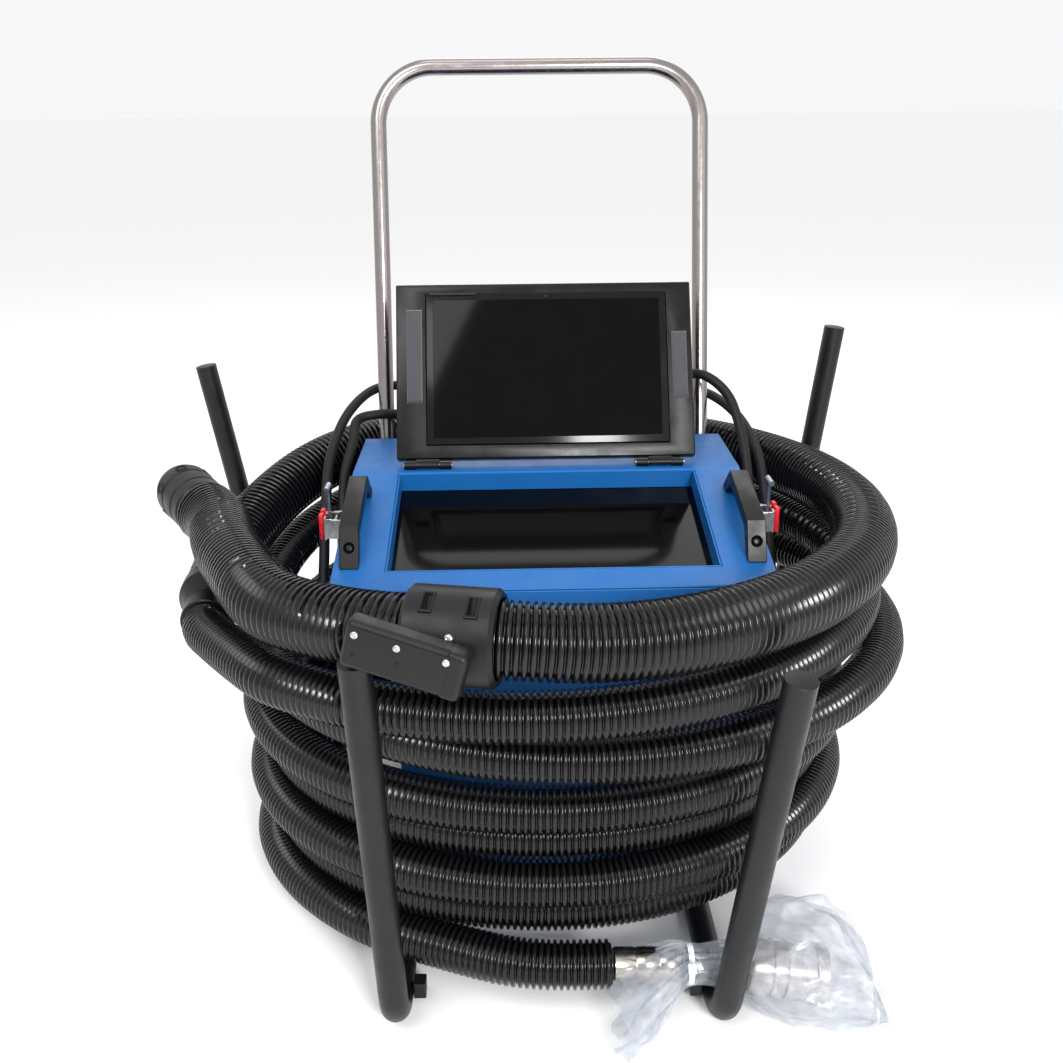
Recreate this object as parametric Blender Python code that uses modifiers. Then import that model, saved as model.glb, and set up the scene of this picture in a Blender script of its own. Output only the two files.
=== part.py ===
"""Pipe inspection camera: a blue control console with a tilting tablet lid, standing in a cradle of
black tubes that carries the coiled corrugated hose with the camera head at its end.

Metres, +Z up, +Y towards the push handle, +X to the operator's right.
"""

import math

import bmesh
import bpy
from mathutils import Matrix, Vector

GAP = 0.0003  # clearance between pieces that touch
SIDES = (("left", -1), ("right", 1))

# Console box and its sloping top
CONSOLE_HALF_WIDTH = 0.1935
CONSOLE_SLOPE = math.radians(12.15)
CREASE_Y = 0.030
DECK_Z = 0.406
SLOPE_LENGTH = 0.199
DECK_DEPTH = 0.115
CONSOLE_FLOOR_Z = 0.300
SHEET = 0.002
TOP_PLATE = 0.002
WELL_HALF_WIDTH = 0.1475
WELL_REAR = 0.004
WELL_LENGTH = 0.167
WELL_DEPTH = 0.0195
WELL_WALL = 0.0015
GLASS_THICKNESS = 0.003

# Cabinet under the console
CABINET_HALF_WIDTH = 0.145
CABINET_HALF_DEPTH = 0.125

# Lid with the tablet
LID_WIDTH = 0.300
LID_LENGTH = 0.180
LID_THICKNESS = 0.014
LID_LEAN = math.radians(27.8)
HINGE_HEIGHT = 0.0045
HINGE_SETBACK = 0.005
HINGE_RADIUS = 0.003
LID_GAP = 0.006
HINGE_OUT = 0.001
HINGE_X = {"left": -0.119, "right": 0.114}
HINGE_LENGTH = 0.047
PIN_RADIUS = 0.0011
PIN_CLEARANCE = 0.0002
TABLET_WIDTH = 0.244
TABLET_HEIGHT = 0.156
TABLET_THICKNESS = 0.008
TABLET_TOP_MARGIN = 0.0099
TABLET_X = 0.0025
PAD_WIDTH = 0.0155
PAD_PROUD = 0.004

# Carry handles, in the frame of the sloping top
HANDLE_X = 0.179
HANDLE_WIDTH = 0.017
HANDLE_FRONT = -0.1678
HANDLE_REAR = -0.0357
HANDLE_SLANT = 0.0231
HANDLE_HEIGHT = 0.031
HANDLE_BAR = 0.012
HANDLE_FOOT = 0.014
HANDLE_UNDER_SLANT = 0.0158
SCREW_HOLE_RADIUS = 0.0045
SCREW_HOLE_DEPTH = 0.004

# Toggle latches
LATCH_Y = -0.040
LATCH_WIDTH = 0.026
LATCH_PLATE = 0.0018
LATCH_BASE_Z = 0.340
LATCH_PIVOT_Z = 0.3835
LATCH_PIVOT_OUT = 0.0085
LATCH_PIN = 0.0014
LATCH_PLAY = 0.0005
LATCH_HOOK_OUT = 0.0058
LATCH_HOOK_DROP = 0.011
LATCH_HOOK_RADIUS = 0.0018
LATCH_LEVER_DROP = 0.0175
LATCH_SLOT = 0.0066
LATCH_BRIDGE = 0.0026
LATCH_GRIP = 0.0045
LATCH_GRIP_HEIGHT = 0.025
LATCH_TOP_Z = 0.4145

# Cradle
RAIL_RADIUS = 0.0125
POST_TOP = {"left": (-0.152, -0.312, 0.3755), "right": (0.166, -0.340, 0.370)}
POST_FOOT = {"left": (-0.143, -0.289), "right": (0.139, -0.294)}
FOOT_BEND = 0.034
LUG_WIDTH = 0.011
HOOP_RADIUS = 0.0115
HOOP_Y = 0.240
HOOP_TOP_LEFT = (-0.3842, HOOP_Y, 0.4673)
HOOP_TOP_RIGHT = (0.3394, HOOP_Y, 0.5027)
HOOP_FOOT_LEFT = -0.3155
HOOP_FOOT_RIGHT = 0.2855
HOOP_BEND = 0.050
PLATE_HALF_WIDTH = 0.158
PLATE_HALF_DEPTH = 0.140
PLATE_THICKNESS = 0.003

# Wheels
AXLE_Y = 0.290
AXLE_RADIUS = 0.006
BRACKET_X = 0.150
WHEEL_X = 0.215
WHEEL_RADIUS = 0.045
WHEEL_WIDTH = 0.024

# Push handle
PUSH_RADIUS = 0.0086
PUSH_X = 0.002
PUSH_HALF_WIDTH = 0.1755
PUSH_STAND_OFF = 0.020
PUSH_FOOT_Z = 0.305
PUSH_KNEE_Z = 0.360
PUSH_TOP_Y = 0.280
PUSH_TOP_Z = 0.783
PUSH_BEND = 0.060

# Wide upper hose and its coupling
BIG_HOSE = 0.060
BIG_CENTRE = (-0.013, -0.007)
BIG_RADII = (0.313, 0.285)
BIG_Z = 0.374
BIG_FROM = 226.0
BIG_TO = 486.0
BIG_TAIL_TO = 548.0
BIG_TAIL_Z = 0.310
REDUCER_LENGTH = 0.050
BIG_LIFT = 0.008
HOSE_PLAY = 0.0036
COUPLING_X = -0.080
COUPLING_RADIUS = 0.0375
COUPLING_LENGTH = 0.070
CLASP_LENGTH = 0.090
CLASP_HEIGHT = 0.038
CLASP_DEPTH = 0.019
CLASP_SHIFT = -0.024
CLASP_RISE = 0.006
CLASP_TILT = math.radians(15)

# Thin hose: two loose turns, four nested turns, and the run out to the camera head
HOSE = 0.042
LAY_HEIGHT = 2 * RAIL_RADIUS + HOSE / 2 + GAP
SECOND_CENTRE, SECOND_RADII, SECOND_Z = (-0.024, 0.0), (0.326, 0.294), 0.316
THIRD_CENTRE, THIRD_RADII, THIRD_Z = (0.024, 0.0), (0.306, 0.275), 0.266
COIL_X = -0.004
COIL_A = 0.287
COIL_B = 0.250
COIL_NEST = 0.019
STACK_TOP = 0.220
HOSE_END_X = 0.045

# Camera head and its bag
HEAD_Y = -0.262
NECK_FALL = 0.028
HEAD_X = 0.1555
HEAD_RADIUS = 0.0265
HEAD_LENGTH = 0.076
HEAD_FALL = 0.150
HEAD_TURN = 0.040
BOOT_RADIUS = 0.0138
BOOT_RIBS = 5
BOOT_PITCH = 0.0082
TIE_X = 0.113
FILM = 0.0010
BAG_RADIUS = 0.0385
BAG_END = 0.262

CABLE = 0.0105
CABLE_GAP = 0.0010

# Pieces that are a cord or sit on one
ON_A_CORD = ("hose_", "upper_hose", "cable_", "end_cuff", "coupling_sleeve", "clasp_housing",
             "ribbed_boot", "camera_", "protective_bag")

COLOURS = {
    "powder_blue": ("#0d64ad", 0.42, 0.0),
    "black_powder": ("#1b1c1e", 0.55, 0.0),
    "black_satin": ("#17181a", 0.45, 0.0),
    "screen_glass": ("#050506", 0.08, 0.0),
    "felt": ("#2b2c30", 0.95, 0.0),
    "bright_steel": ("#b9bbbe", 0.25, 1.0),
    "stainless": ("#9a9290", 0.30, 1.0),
    "red_rubber": ("#c4161c", 0.50, 0.0),
    "corrugated": ("#1d1d1f", 0.38, 0.0),
    "cable_rubber": ("#131314", 0.60, 0.0),
    "clear_film": ("#dfe3e6", 0.12, 0.0),
    "nylon": ("#e6ebef", 0.45, 0.0),
    "tyre": ("#222324", 0.80, 0.0),
    "circuit": ("#1c5a34", 0.60, 0.0),
    "battery": ("#3a3d42", 0.60, 0.0),
}


def linear(value):
    """One sRGB channel, 0 to 1, as linear light."""
    return value / 12.92 if value <= 0.04045 else ((value + 0.055) / 1.055) ** 2.4


def material(name):
    """The Principled material of this name, made once."""
    if name in bpy.data.materials:
        return bpy.data.materials[name]
    code, roughness, metallic = COLOURS[name]
    made = bpy.data.materials.new(name)
    made.use_nodes = True
    shader = made.node_tree.nodes["Principled BSDF"]
    channels = [linear(int(code[i : i + 2], 16) / 255) for i in (1, 3, 5)]
    shader.inputs["Base Color"].default_value = (*channels, 1.0)
    shader.inputs["Roughness"].default_value = roughness
    shader.inputs["Metallic"].default_value = metallic
    return made


def clear_scene():
    for old in list(bpy.data.objects):
        bpy.data.objects.remove(old, do_unlink=True)


clear_scene()
parts = bpy.data.collections.new("inspection_camera")
cutters = bpy.data.collections.new("cutters")
bpy.context.scene.collection.children.link(parts)
bpy.context.scene.collection.children.link(cutters)
cutters.hide_render = True

origin = bpy.data.objects.new("footprint_centre", None)
parts.objects.link(origin)


def pivot(name, matrix, parent=origin):
    """An empty at this place, which carries one sub-assembly."""
    empty = bpy.data.objects.new(name, None)
    parts.objects.link(empty)
    empty.parent = parent
    empty.matrix_local = matrix
    return empty


def put(obj, name, finish, parent=origin):
    """Names the object, gives it its material and hangs it on its parent."""
    obj.name = name
    obj.data.name = name
    obj.data.materials.append(material(finish))
    parts.objects.link(obj)
    obj.parent = parent
    return obj


def mesh_object(bm, name="solid"):
    mesh = bpy.data.meshes.new(name)
    bmesh.ops.recalc_face_normals(bm, faces=bm.faces)
    bm.to_mesh(mesh)
    bm.free()
    return bpy.data.objects.new(name, mesh)


def block(low, high, matrix=None):
    """A box between two corners, in its parent's frame."""
    low, high = Vector(low), Vector(high)
    bm = bmesh.new()
    bmesh.ops.create_cube(bm, size=1.0)
    bmesh.ops.scale(bm, vec=high - low, verts=bm.verts)
    bmesh.ops.translate(bm, vec=(low + high) / 2, verts=bm.verts)
    if matrix:
        bmesh.ops.transform(bm, matrix=matrix, verts=bm.verts)
    return mesh_object(bm)


def along(start, end):
    """The matrix that takes +Z at the origin to the line from start to end."""
    start, end = Vector(start), Vector(end)
    turn = Vector((0, 0, 1)).rotation_difference(end - start)
    return Matrix.Translation(start) @ turn.to_matrix().to_4x4()


def rod(start, end, radius, sides=20, end_radius=None):
    """A cylinder or a cone between two points."""
    length = (Vector(end) - Vector(start)).length
    bm = bmesh.new()
    bmesh.ops.create_cone(
        bm,
        cap_ends=True,
        segments=sides,
        radius1=radius,
        radius2=radius if end_radius is None else end_radius,
        depth=length,
    )
    bmesh.ops.translate(bm, vec=(0, 0, length / 2), verts=bm.verts)
    bmesh.ops.transform(bm, matrix=along(start, end), verts=bm.verts)
    return mesh_object(bm)


def helper(obj):
    """Hides a cutter or a joined shape from the model."""
    cutters.objects.link(obj)
    obj.hide_render = True
    obj.display_type = "WIRE"
    return obj


def boolean(obj, other, operation="DIFFERENCE"):
    helper(other)
    step = obj.modifiers.new(operation.lower(), "BOOLEAN")
    step.operation = operation
    step.solver = "EXACT"
    step.object = other


def hang_helpers(obj):
    """Gives the helpers of an object the same parent, so that they stay in place."""
    for step in obj.modifiers:
        if step.type == "BOOLEAN":
            step.object.parent = obj.parent


def soften(obj, width, segments=2):
    """Rounded edges on the sharp corners."""
    step = obj.modifiers.new("edges", "BEVEL")
    step.width = width
    step.segments = segments
    step.limit_method = "ANGLE"
    step.angle_limit = math.radians(40)


def smooth(obj):
    obj.data.shade_smooth()
    obj.data.set_sharp_from_angle(angle=math.radians(40))


def tube(points, radius, cyclic=False, resolution=2):
    """A round tube or wire through the points, with closed ends."""
    curve = bpy.data.curves.new("tube", "CURVE")
    curve.dimensions = "3D"
    curve.bevel_depth = radius
    curve.bevel_resolution = resolution
    curve.use_fill_caps = not cyclic
    spline = curve.splines.new("POLY")
    spline.points.add(len(points) - 1)
    for place, point in zip(spline.points, points):
        place.co = (*point, 1.0)
    spline.use_cyclic_u = cyclic
    return bpy.data.objects.new("tube", curve)


def as_mesh(obj):
    """A curve object as a welded mesh, which a Boolean can cut."""
    bpy.context.scene.collection.objects.link(obj)
    graph = bpy.context.evaluated_depsgraph_get()
    mesh = bpy.data.meshes.new_from_object(obj.evaluated_get(graph))
    made = bpy.data.objects.new("solid", mesh)
    made.matrix_world = obj.matrix_world
    bpy.data.objects.remove(obj, do_unlink=True)
    bm = bmesh.new()
    bm.from_mesh(mesh)
    bmesh.ops.remove_doubles(bm, verts=bm.verts, dist=0.00001)
    bmesh.ops.recalc_face_normals(bm, faces=bm.faces)
    bm.to_mesh(mesh)
    bm.free()
    return made


def outline_solid(points, thickness, matrix):
    """A flat outline, extruded to both sides of its own plane and then placed."""
    curve = bpy.data.curves.new("outline", "CURVE")
    curve.dimensions = "2D"
    curve.fill_mode = "BOTH"
    curve.extrude = thickness / 2
    spline = curve.splines.new("POLY")
    spline.points.add(len(points) - 1)
    for place, (x, y) in zip(spline.points, points):
        place.co = (x, y, 0.0, 1.0)
    spline.use_cyclic_u = True
    made = as_mesh(bpy.data.objects.new("outline", curve))
    made.data.transform(matrix)
    return made


def turned(profile, steps):
    """A turned piece about its own Z: the profile is (radius, height), down the outer side."""
    mesh = bpy.data.meshes.new("profile")
    verts = [(radius, 0, height) for radius, height in profile]
    mesh.from_pydata(verts, [(i, i + 1) for i in range(len(verts) - 1)], [])
    made = bpy.data.objects.new("turned", mesh)
    step = made.modifiers.new("turn", "SCREW")
    step.steps = steps
    step.render_steps = steps
    step.use_merge_vertices = True
    step.merge_threshold = 0.00001
    return made


def rounded_path(corners, bend, step=math.radians(15)):
    """The corners joined by straight runs, with an arc of the bend radius at each inner corner."""
    corners = [Vector(corner) for corner in corners]
    points = [corners[0]]
    for before, corner, after in zip(corners, corners[1:], corners[2:]):
        into = (corner - before).normalized()
        out = (after - corner).normalized()
        angle = into.angle(out)
        reach = bend * math.tan(angle / 2)
        side = (out - into * into.dot(out)).normalized()
        start = corner - into * reach
        pieces = max(2, round(angle / step))
        for k in range(pieces + 1):
            turn = angle * k / pieces
            points.append(start + into * bend * math.sin(turn) + side * bend * (1 - math.cos(turn)))
    points.append(corners[-1])
    return points


def smooth_path(points, count):
    """Evenly spaced points on the smooth curve through the given points."""
    knots = [Vector(point) for point in points]
    knots = [2 * knots[0] - knots[1], *knots, 2 * knots[-1] - knots[-2]]
    fine = []
    for a, b, c, d in zip(knots, knots[1:], knots[2:], knots[3:]):
        for k in range(12):
            t = k / 12
            fine.append(
                0.5 * (2 * b + (c - a) * t + (2 * a - 5 * b + 4 * c - d) * t**2
                       + (3 * b - a - 3 * c + d) * t**3)
            )
    fine.append(knots[-2])
    lengths = [0.0]
    for a, b in zip(fine, fine[1:]):
        lengths.append(lengths[-1] + (b - a).length)
    spaced, at = [], 0
    for k in range(count):
        goal = lengths[-1] * k / (count - 1)
        while at < len(lengths) - 2 and lengths[at + 1] < goal:
            at += 1
        part = (goal - lengths[at]) / (lengths[at + 1] - lengths[at])
        spaced.append(fine[at].lerp(fine[at + 1], min(1.0, part)))
    return spaced


def turn_path(centre, radii, heights, start, end, count):
    """Points along one turn of an oval coil, whose height eases from the first value to the last."""
    points = []
    for k in range(count):
        share = k / (count - 1)
        angle = math.radians(start + (end - start) * share)
        ease = share * share * (3 - 2 * share)
        points.append(Vector((
            centre[0] + radii[0] * math.cos(angle),
            centre[1] + radii[1] * math.sin(angle),
            heights[0] + (heights[1] - heights[0]) * ease,
        )))
    return points


# ---- Frames of the sub-assemblies -------------------------------------------------------------

SLOPE_FRAME = Matrix.Translation((0, CREASE_Y, DECK_Z)) @ Matrix.Rotation(CONSOLE_SLOPE, 4, "X")
LID_FRAME = (
    Matrix.Translation((0, CREASE_Y + HINGE_SETBACK, DECK_Z + HINGE_HEIGHT))
    @ Matrix.Rotation(math.pi / 2 - LID_LEAN, 4, "X")
)
slope = pivot("console_slope", SLOPE_FRAME)
lid = pivot("lid_pivot", LID_FRAME)

CREASE_FRONT_Y = CREASE_Y - SLOPE_LENGTH * math.cos(CONSOLE_SLOPE)
CREASE_FRONT_Z = DECK_Z - SLOPE_LENGTH * math.sin(CONSOLE_SLOPE)
CONSOLE_REAR_Y = CREASE_Y + DECK_DEPTH
YZ_TO_X = Matrix(((0, 0, 1, 0), (1, 0, 0, 0), (0, 1, 0, 0), (0, 0, 0, 1)))


def side_outline(inset, drop, floor_z):
    """The console seen from its side, inside the given sheet thickness."""
    bend = inset * math.tan(CONSOLE_SLOPE)
    return [
        (CREASE_FRONT_Y + inset, floor_z),
        (CONSOLE_REAR_Y - inset, floor_z),
        (CONSOLE_REAR_Y - inset, DECK_Z - drop),
        (CREASE_Y, DECK_Z - drop),
        (CREASE_FRONT_Y + inset, CREASE_FRONT_Z - drop + bend),
    ]


# ---- Console ------------------------------------------------------------------------------------


def console_body():
    """Folded sheet box, open at the top, where the top frame lies on its rim."""
    width = 2 * CONSOLE_HALF_WIDTH
    body = outline_solid(side_outline(0, TOP_PLATE + GAP, CONSOLE_FLOOR_Z), width, YZ_TO_X)
    inner = side_outline(SHEET, -0.02, CONSOLE_FLOOR_Z + SHEET)
    boolean(body, outline_solid(inner, width - 2 * SHEET, YZ_TO_X))
    boolean(body, block((-0.05, -0.03, CONSOLE_FLOOR_Z - 0.01), (0.05, 0.05, CONSOLE_FLOOR_Z + 0.01)))
    put(body, "console_body", "powder_blue")
    hang_helpers(body)


def top_frame():
    """Bent cover plate: flat rear deck, sloping front with the screen well cut out of it."""
    outline = [
        (CREASE_FRONT_Y, CREASE_FRONT_Z - TOP_PLATE),
        (CREASE_Y, DECK_Z - TOP_PLATE),
        (CONSOLE_REAR_Y, DECK_Z - TOP_PLATE),
        (CONSOLE_REAR_Y, DECK_Z),
        (CREASE_Y, DECK_Z),
        (CREASE_FRONT_Y, CREASE_FRONT_Z),
    ]
    plate = outline_solid(outline, 2 * CONSOLE_HALF_WIDTH, YZ_TO_X)
    hole = block(
        (-WELL_HALF_WIDTH, -WELL_REAR - WELL_LENGTH, -0.01),
        (WELL_HALF_WIDTH, -WELL_REAR, 0.01),
        SLOPE_FRAME,
    )
    boolean(plate, hole)
    put(plate, "top_frame", "powder_blue")
    hang_helpers(plate)


def screen_well():
    """Four-sided tray wall that hangs in the frame's opening, with the black panel as its floor."""
    outer = block(
        (-WELL_HALF_WIDTH + GAP, -WELL_REAR - WELL_LENGTH + GAP, -WELL_DEPTH),
        (WELL_HALF_WIDTH - GAP, -WELL_REAR - GAP, -0.0002),
    )
    wall = WELL_WALL
    boolean(outer, block(
        (-WELL_HALF_WIDTH + GAP + wall, -WELL_REAR - WELL_LENGTH + GAP + wall, -WELL_DEPTH - 0.01),
        (WELL_HALF_WIDTH - GAP - wall, -WELL_REAR - GAP - wall, 0.01),
    ))
    put(outer, "screen_well_wall", "powder_blue", slope)
    hang_helpers(outer)
    top = -WELL_DEPTH - GAP
    glass = block(
        (-WELL_HALF_WIDTH - 0.004, -WELL_REAR - WELL_LENGTH - 0.004, top - GLASS_THICKNESS),
        (WELL_HALF_WIDTH + 0.004, -WELL_REAR + 0.002, top),
    )
    put(glass, "screen_glass", "screen_glass", slope)
    under = top - GLASS_THICKNESS - GAP
    display = block((-0.120, -0.150, under - 0.012), (0.120, -0.020, under))
    put(display, "display_module", "black_satin", slope)


def cabinet():
    """Lower cabinet on the base plate, open at the top under the console, with the battery inside."""
    half, depth = CABINET_HALF_WIDTH, CABINET_HALF_DEPTH
    bottom = 2 * RAIL_RADIUS + PLATE_THICKNESS + 2 * GAP
    top = CONSOLE_FLOOR_Z - GAP
    shell = block((-half, -depth, bottom), (half, depth, top))
    boolean(shell, block((-half + SHEET, -depth + SHEET, bottom + SHEET),
                         (half - SHEET, depth - SHEET, top + 0.01)))
    put(shell, "lower_cabinet", "powder_blue")
    hang_helpers(shell)
    floor = bottom + SHEET + GAP
    pack = block((-0.10, -0.09, floor), (0.10, 0.00, floor + 0.075))
    soften(pack, 0.003)
    put(pack, "battery_pack", "battery")


def put_turned(profile, start, end, name, finish, parent=origin, steps=24):
    """Turns the profile about the line from start to end, in its parent's frame."""
    made = turned(profile, steps)
    put(made, name, finish, parent)
    made.matrix_local = along(start, end)
    return made


# ---- Lid and tablet -----------------------------------------------------------------------------


def lid_pieces():
    """Lid tray, tablet and the two felt pads, in the lid's own frame with its hinge axis at X."""
    near = LID_GAP
    far = near + LID_LENGTH
    half = LID_WIDTH / 2
    front = HINGE_OUT
    shell = block((-half, near, front - LID_THICKNESS), (half, far, front))
    soften(shell, 0.0012)
    recess_low = (TABLET_X - TABLET_WIDTH / 2 - GAP, far - TABLET_TOP_MARGIN - TABLET_HEIGHT - GAP,
                  front - TABLET_THICKNESS)
    recess_high = (TABLET_X + TABLET_WIDTH / 2 + GAP, far - TABLET_TOP_MARGIN + GAP, front + 0.01)
    boolean(shell, block(recess_low, recess_high))
    put(shell, "lid_shell", "black_satin", lid)
    hang_helpers(shell)
    tablet = block(
        (TABLET_X - TABLET_WIDTH / 2, far - TABLET_TOP_MARGIN - TABLET_HEIGHT,
         front - TABLET_THICKNESS + GAP),
        (TABLET_X + TABLET_WIDTH / 2, far - TABLET_TOP_MARGIN, front + 0.0008),
    )
    soften(tablet, 0.0006)
    put(tablet, "tablet", "screen_glass", lid)
    for name, x, low, high in (("left", -0.1315, far - 0.123, far - 0.0265),
                               ("right", 0.1370, far - 0.121, far - 0.052)):
        pad = block((x - PAD_WIDTH / 2, low, front + GAP), (x + PAD_WIDTH / 2, high, front + PAD_PROUD))
        put(pad, f"foam_pad_{name}", "felt", lid)


def hinges():
    """Two butt hinges: leaf and outer knuckles on the deck, leaf and middle knuckle on the lid."""
    middle = HINGE_LENGTH / 4
    axis = CREASE_Y + HINGE_SETBACK, DECK_Z + HINGE_HEIGHT
    bore = PIN_RADIUS + PIN_CLEARANCE
    for name, _ in SIDES:
        x = HINGE_X[name]
        left, right = x - HINGE_LENGTH / 2, x + HINGE_LENGTH / 2
        top = DECK_Z + HINGE_HEIGHT - HINGE_RADIUS + 0.0006
        deck = block((left, axis[0] - 0.001, DECK_Z + GAP), (right, axis[0] + 0.020, top))
        boolean(deck, rod((left, *axis), (right, *axis), HINGE_RADIUS, 16), "UNION")
        boolean(deck, block((x - middle - GAP, axis[0] - 0.01, DECK_Z + GAP / 2),
                            (x + middle + GAP, axis[0] + HINGE_RADIUS + 0.001, DECK_Z + 0.02)))
        boolean(deck, rod((left - 0.01, *axis), (right + 0.01, *axis), bore, 12))
        put(deck, f"hinge_deck_leaf_{name}", "bright_steel")
        hang_helpers(deck)
        put(rod((left - 0.001, *axis), (right + 0.001, *axis), PIN_RADIUS, 12), f"hinge_pin_{name}",
            "bright_steel")
        width = middle - GAP
        leaf = rod((x - width, 0, 0), (x + width, 0, 0), HINGE_RADIUS, 16)
        boolean(leaf, block((x - width, 0.0015, HINGE_OUT - 0.0070), (x + width, LID_GAP - GAP, HINGE_OUT)),
                "UNION")
        boolean(leaf, rod((x - width - 0.01, 0, 0), (x + width + 0.01, 0, 0), bore, 12))
        put(leaf, f"hinge_lid_leaf_{name}", "bright_steel", lid)
        hang_helpers(leaf)


# ---- Carry handles and latches --------------------------------------------------------------------


def carry_handles():
    """Bridge handles with sloping ends, on the side flanges of the top frame."""
    outline = [
        (HANDLE_FRONT, GAP),
        (HANDLE_FRONT + HANDLE_FOOT, GAP),
        (HANDLE_FRONT + HANDLE_FOOT + HANDLE_UNDER_SLANT, HANDLE_HEIGHT - HANDLE_BAR),
        (HANDLE_REAR - HANDLE_FOOT - HANDLE_UNDER_SLANT, HANDLE_HEIGHT - HANDLE_BAR),
        (HANDLE_REAR - HANDLE_FOOT, GAP),
        (HANDLE_REAR, GAP),
        (HANDLE_REAR - HANDLE_SLANT, HANDLE_HEIGHT),
        (HANDLE_FRONT + HANDLE_SLANT, HANDLE_HEIGHT),
    ]
    for name, side in SIDES:
        place = Matrix.Translation((side * HANDLE_X, 0, 0)) @ YZ_TO_X
        grip = outline_solid(outline, HANDLE_WIDTH, place)
        centre = Vector((side * HANDLE_X, HANDLE_FRONT + HANDLE_SLANT / 2, HANDLE_HEIGHT / 2))
        normal = Vector((0, -HANDLE_HEIGHT, HANDLE_SLANT)).normalized()
        boolean(grip, rod(centre - normal * SCREW_HOLE_DEPTH, centre + normal * 0.01, SCREW_HOLE_RADIUS, 16))
        soften(grip, 0.0008, 1)
        put(grip, f"carry_handle_{name}", "black_satin", slope)
        hang_helpers(grip)


def side_block(side, low, high):
    """A box given by its distances out from the middle plane, on the named side."""
    xs = sorted((side * low[0], side * high[0]))
    return block((xs[0], low[1], low[2]), (xs[1], high[1], high[2]))


def put_at_pivot(obj, name, finish, frame):
    """Hangs a piece that was drawn in the assembly's frame on the empty at its pivot."""
    back = Matrix.Translation(-frame.location)
    for piece in [obj, *[step.object for step in obj.modifiers if step.type == "BOOLEAN"]]:
        piece.data.transform(back)
    put(obj, name, finish, frame)
    hang_helpers(obj)


def latch(name, side):
    """Toggle latch on the console's side: base with a cross pin, forked lever, grip and T-hook."""
    wall = CONSOLE_HALF_WIDTH + GAP
    rear, front = LATCH_Y + LATCH_WIDTH / 2, LATCH_Y - LATCH_WIDTH / 2
    pivot_x = wall + LATCH_PIVOT_OUT
    hook_x = pivot_x + LATCH_HOOK_OUT
    hook_z = LATCH_PIVOT_Z - LATCH_HOOK_DROP
    bottom = LATCH_PIVOT_Z - LATCH_LEVER_DROP

    def at(out, y, z):
        return Vector((side * out, y, z))

    base = side_block(side, (wall, front, LATCH_BASE_Z), (wall + LATCH_PLATE, rear, LATCH_PIVOT_Z + 0.004))
    for edge in (front, rear - LATCH_PLATE):
        boolean(base, side_block(side, (wall + LATCH_PLATE / 2, edge, LATCH_PIVOT_Z - 0.008),
                                 (pivot_x + 0.003, edge + LATCH_PLATE, LATCH_PIVOT_Z + 0.003)), "UNION")
    inset = LATCH_PLATE / 2
    boolean(base, rod(at(pivot_x, front + inset, LATCH_PIVOT_Z), at(pivot_x, rear - inset, LATCH_PIVOT_Z),
                      LATCH_PIN, 12), "UNION")
    put(base, f"latch_base_{name}", "bright_steel")
    hang_helpers(base)

    frame = pivot(f"latch_pivot_{name}", Matrix.Translation(at(pivot_x, LATCH_Y, LATCH_PIVOT_Z)))
    near, far = front + LATCH_PLATE + LATCH_PLAY, rear - LATCH_PLATE - LATCH_PLAY
    face = hook_x + LATCH_HOOK_RADIUS + 0.0006
    lever = side_block(side, (face, near, bottom), (face + LATCH_PLATE, far, LATCH_PIVOT_Z + 0.004))
    for edge in (near, far - LATCH_PLATE):
        boolean(lever, side_block(side, (pivot_x - 0.003, edge, bottom + 0.001),
                                  (face + inset, edge + LATCH_PLATE, LATCH_PIVOT_Z + 0.003)), "UNION")
    slot = (LATCH_Y - LATCH_SLOT / 2, LATCH_Y + LATCH_SLOT / 2)
    boolean(lever, side_block(side, (face - 0.005, slot[0], bottom + LATCH_BRIDGE),
                              (face + 0.02, slot[1], LATCH_PIVOT_Z + 0.03)))
    boolean(lever, rod(at(pivot_x, front - 0.01, LATCH_PIVOT_Z), at(pivot_x, rear + 0.01, LATCH_PIVOT_Z),
                       LATCH_PIN + GAP, 12))
    boolean(lever, rod(at(hook_x, near + inset, hook_z), at(hook_x, far - inset, hook_z), LATCH_PIN, 12),
            "UNION")
    put_at_pivot(lever, f"latch_lever_{name}", "bright_steel", frame)

    pad = face + LATCH_PLATE + GAP
    grip = side_block(side, (pad, near, bottom), (pad + LATCH_GRIP, far, bottom + LATCH_GRIP_HEIGHT))
    soften(grip, 0.0012, 2)
    boolean(grip, side_block(side, (pad - 0.005, slot[0], bottom + LATCH_BRIDGE),
                             (pad + 0.02, slot[1], bottom + 0.05)))
    put_at_pivot(grip, f"latch_grip_{name}", "red_rubber", frame)

    hook_frame = pivot(f"latch_hook_pivot_{name}", Matrix.Translation(at(hook_x, LATCH_Y, hook_z)))
    hook = rod(at(hook_x, LATCH_Y, hook_z), at(hook_x, LATCH_Y, LATCH_TOP_Z), LATCH_HOOK_RADIUS, 12)
    boolean(hook, rod(at(hook_x, LATCH_Y - 0.0028, hook_z), at(hook_x, LATCH_Y + 0.0028, hook_z),
                      LATCH_PIN + 0.0016, 14), "UNION")
    boolean(hook, rod(at(hook_x, LATCH_Y - 0.009, LATCH_TOP_Z), at(hook_x, LATCH_Y + 0.009, LATCH_TOP_Z),
                      0.0026, 12), "UNION")
    boolean(hook, rod(at(hook_x, LATCH_Y - 0.01, hook_z), at(hook_x, LATCH_Y + 0.01, hook_z),
                      LATCH_PIN + GAP, 12))
    put_at_pivot(hook, f"latch_hook_{name}", "bright_steel", hook_frame)


# ---- Cradle, wheels and push handle ---------------------------------------------------------------


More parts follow.
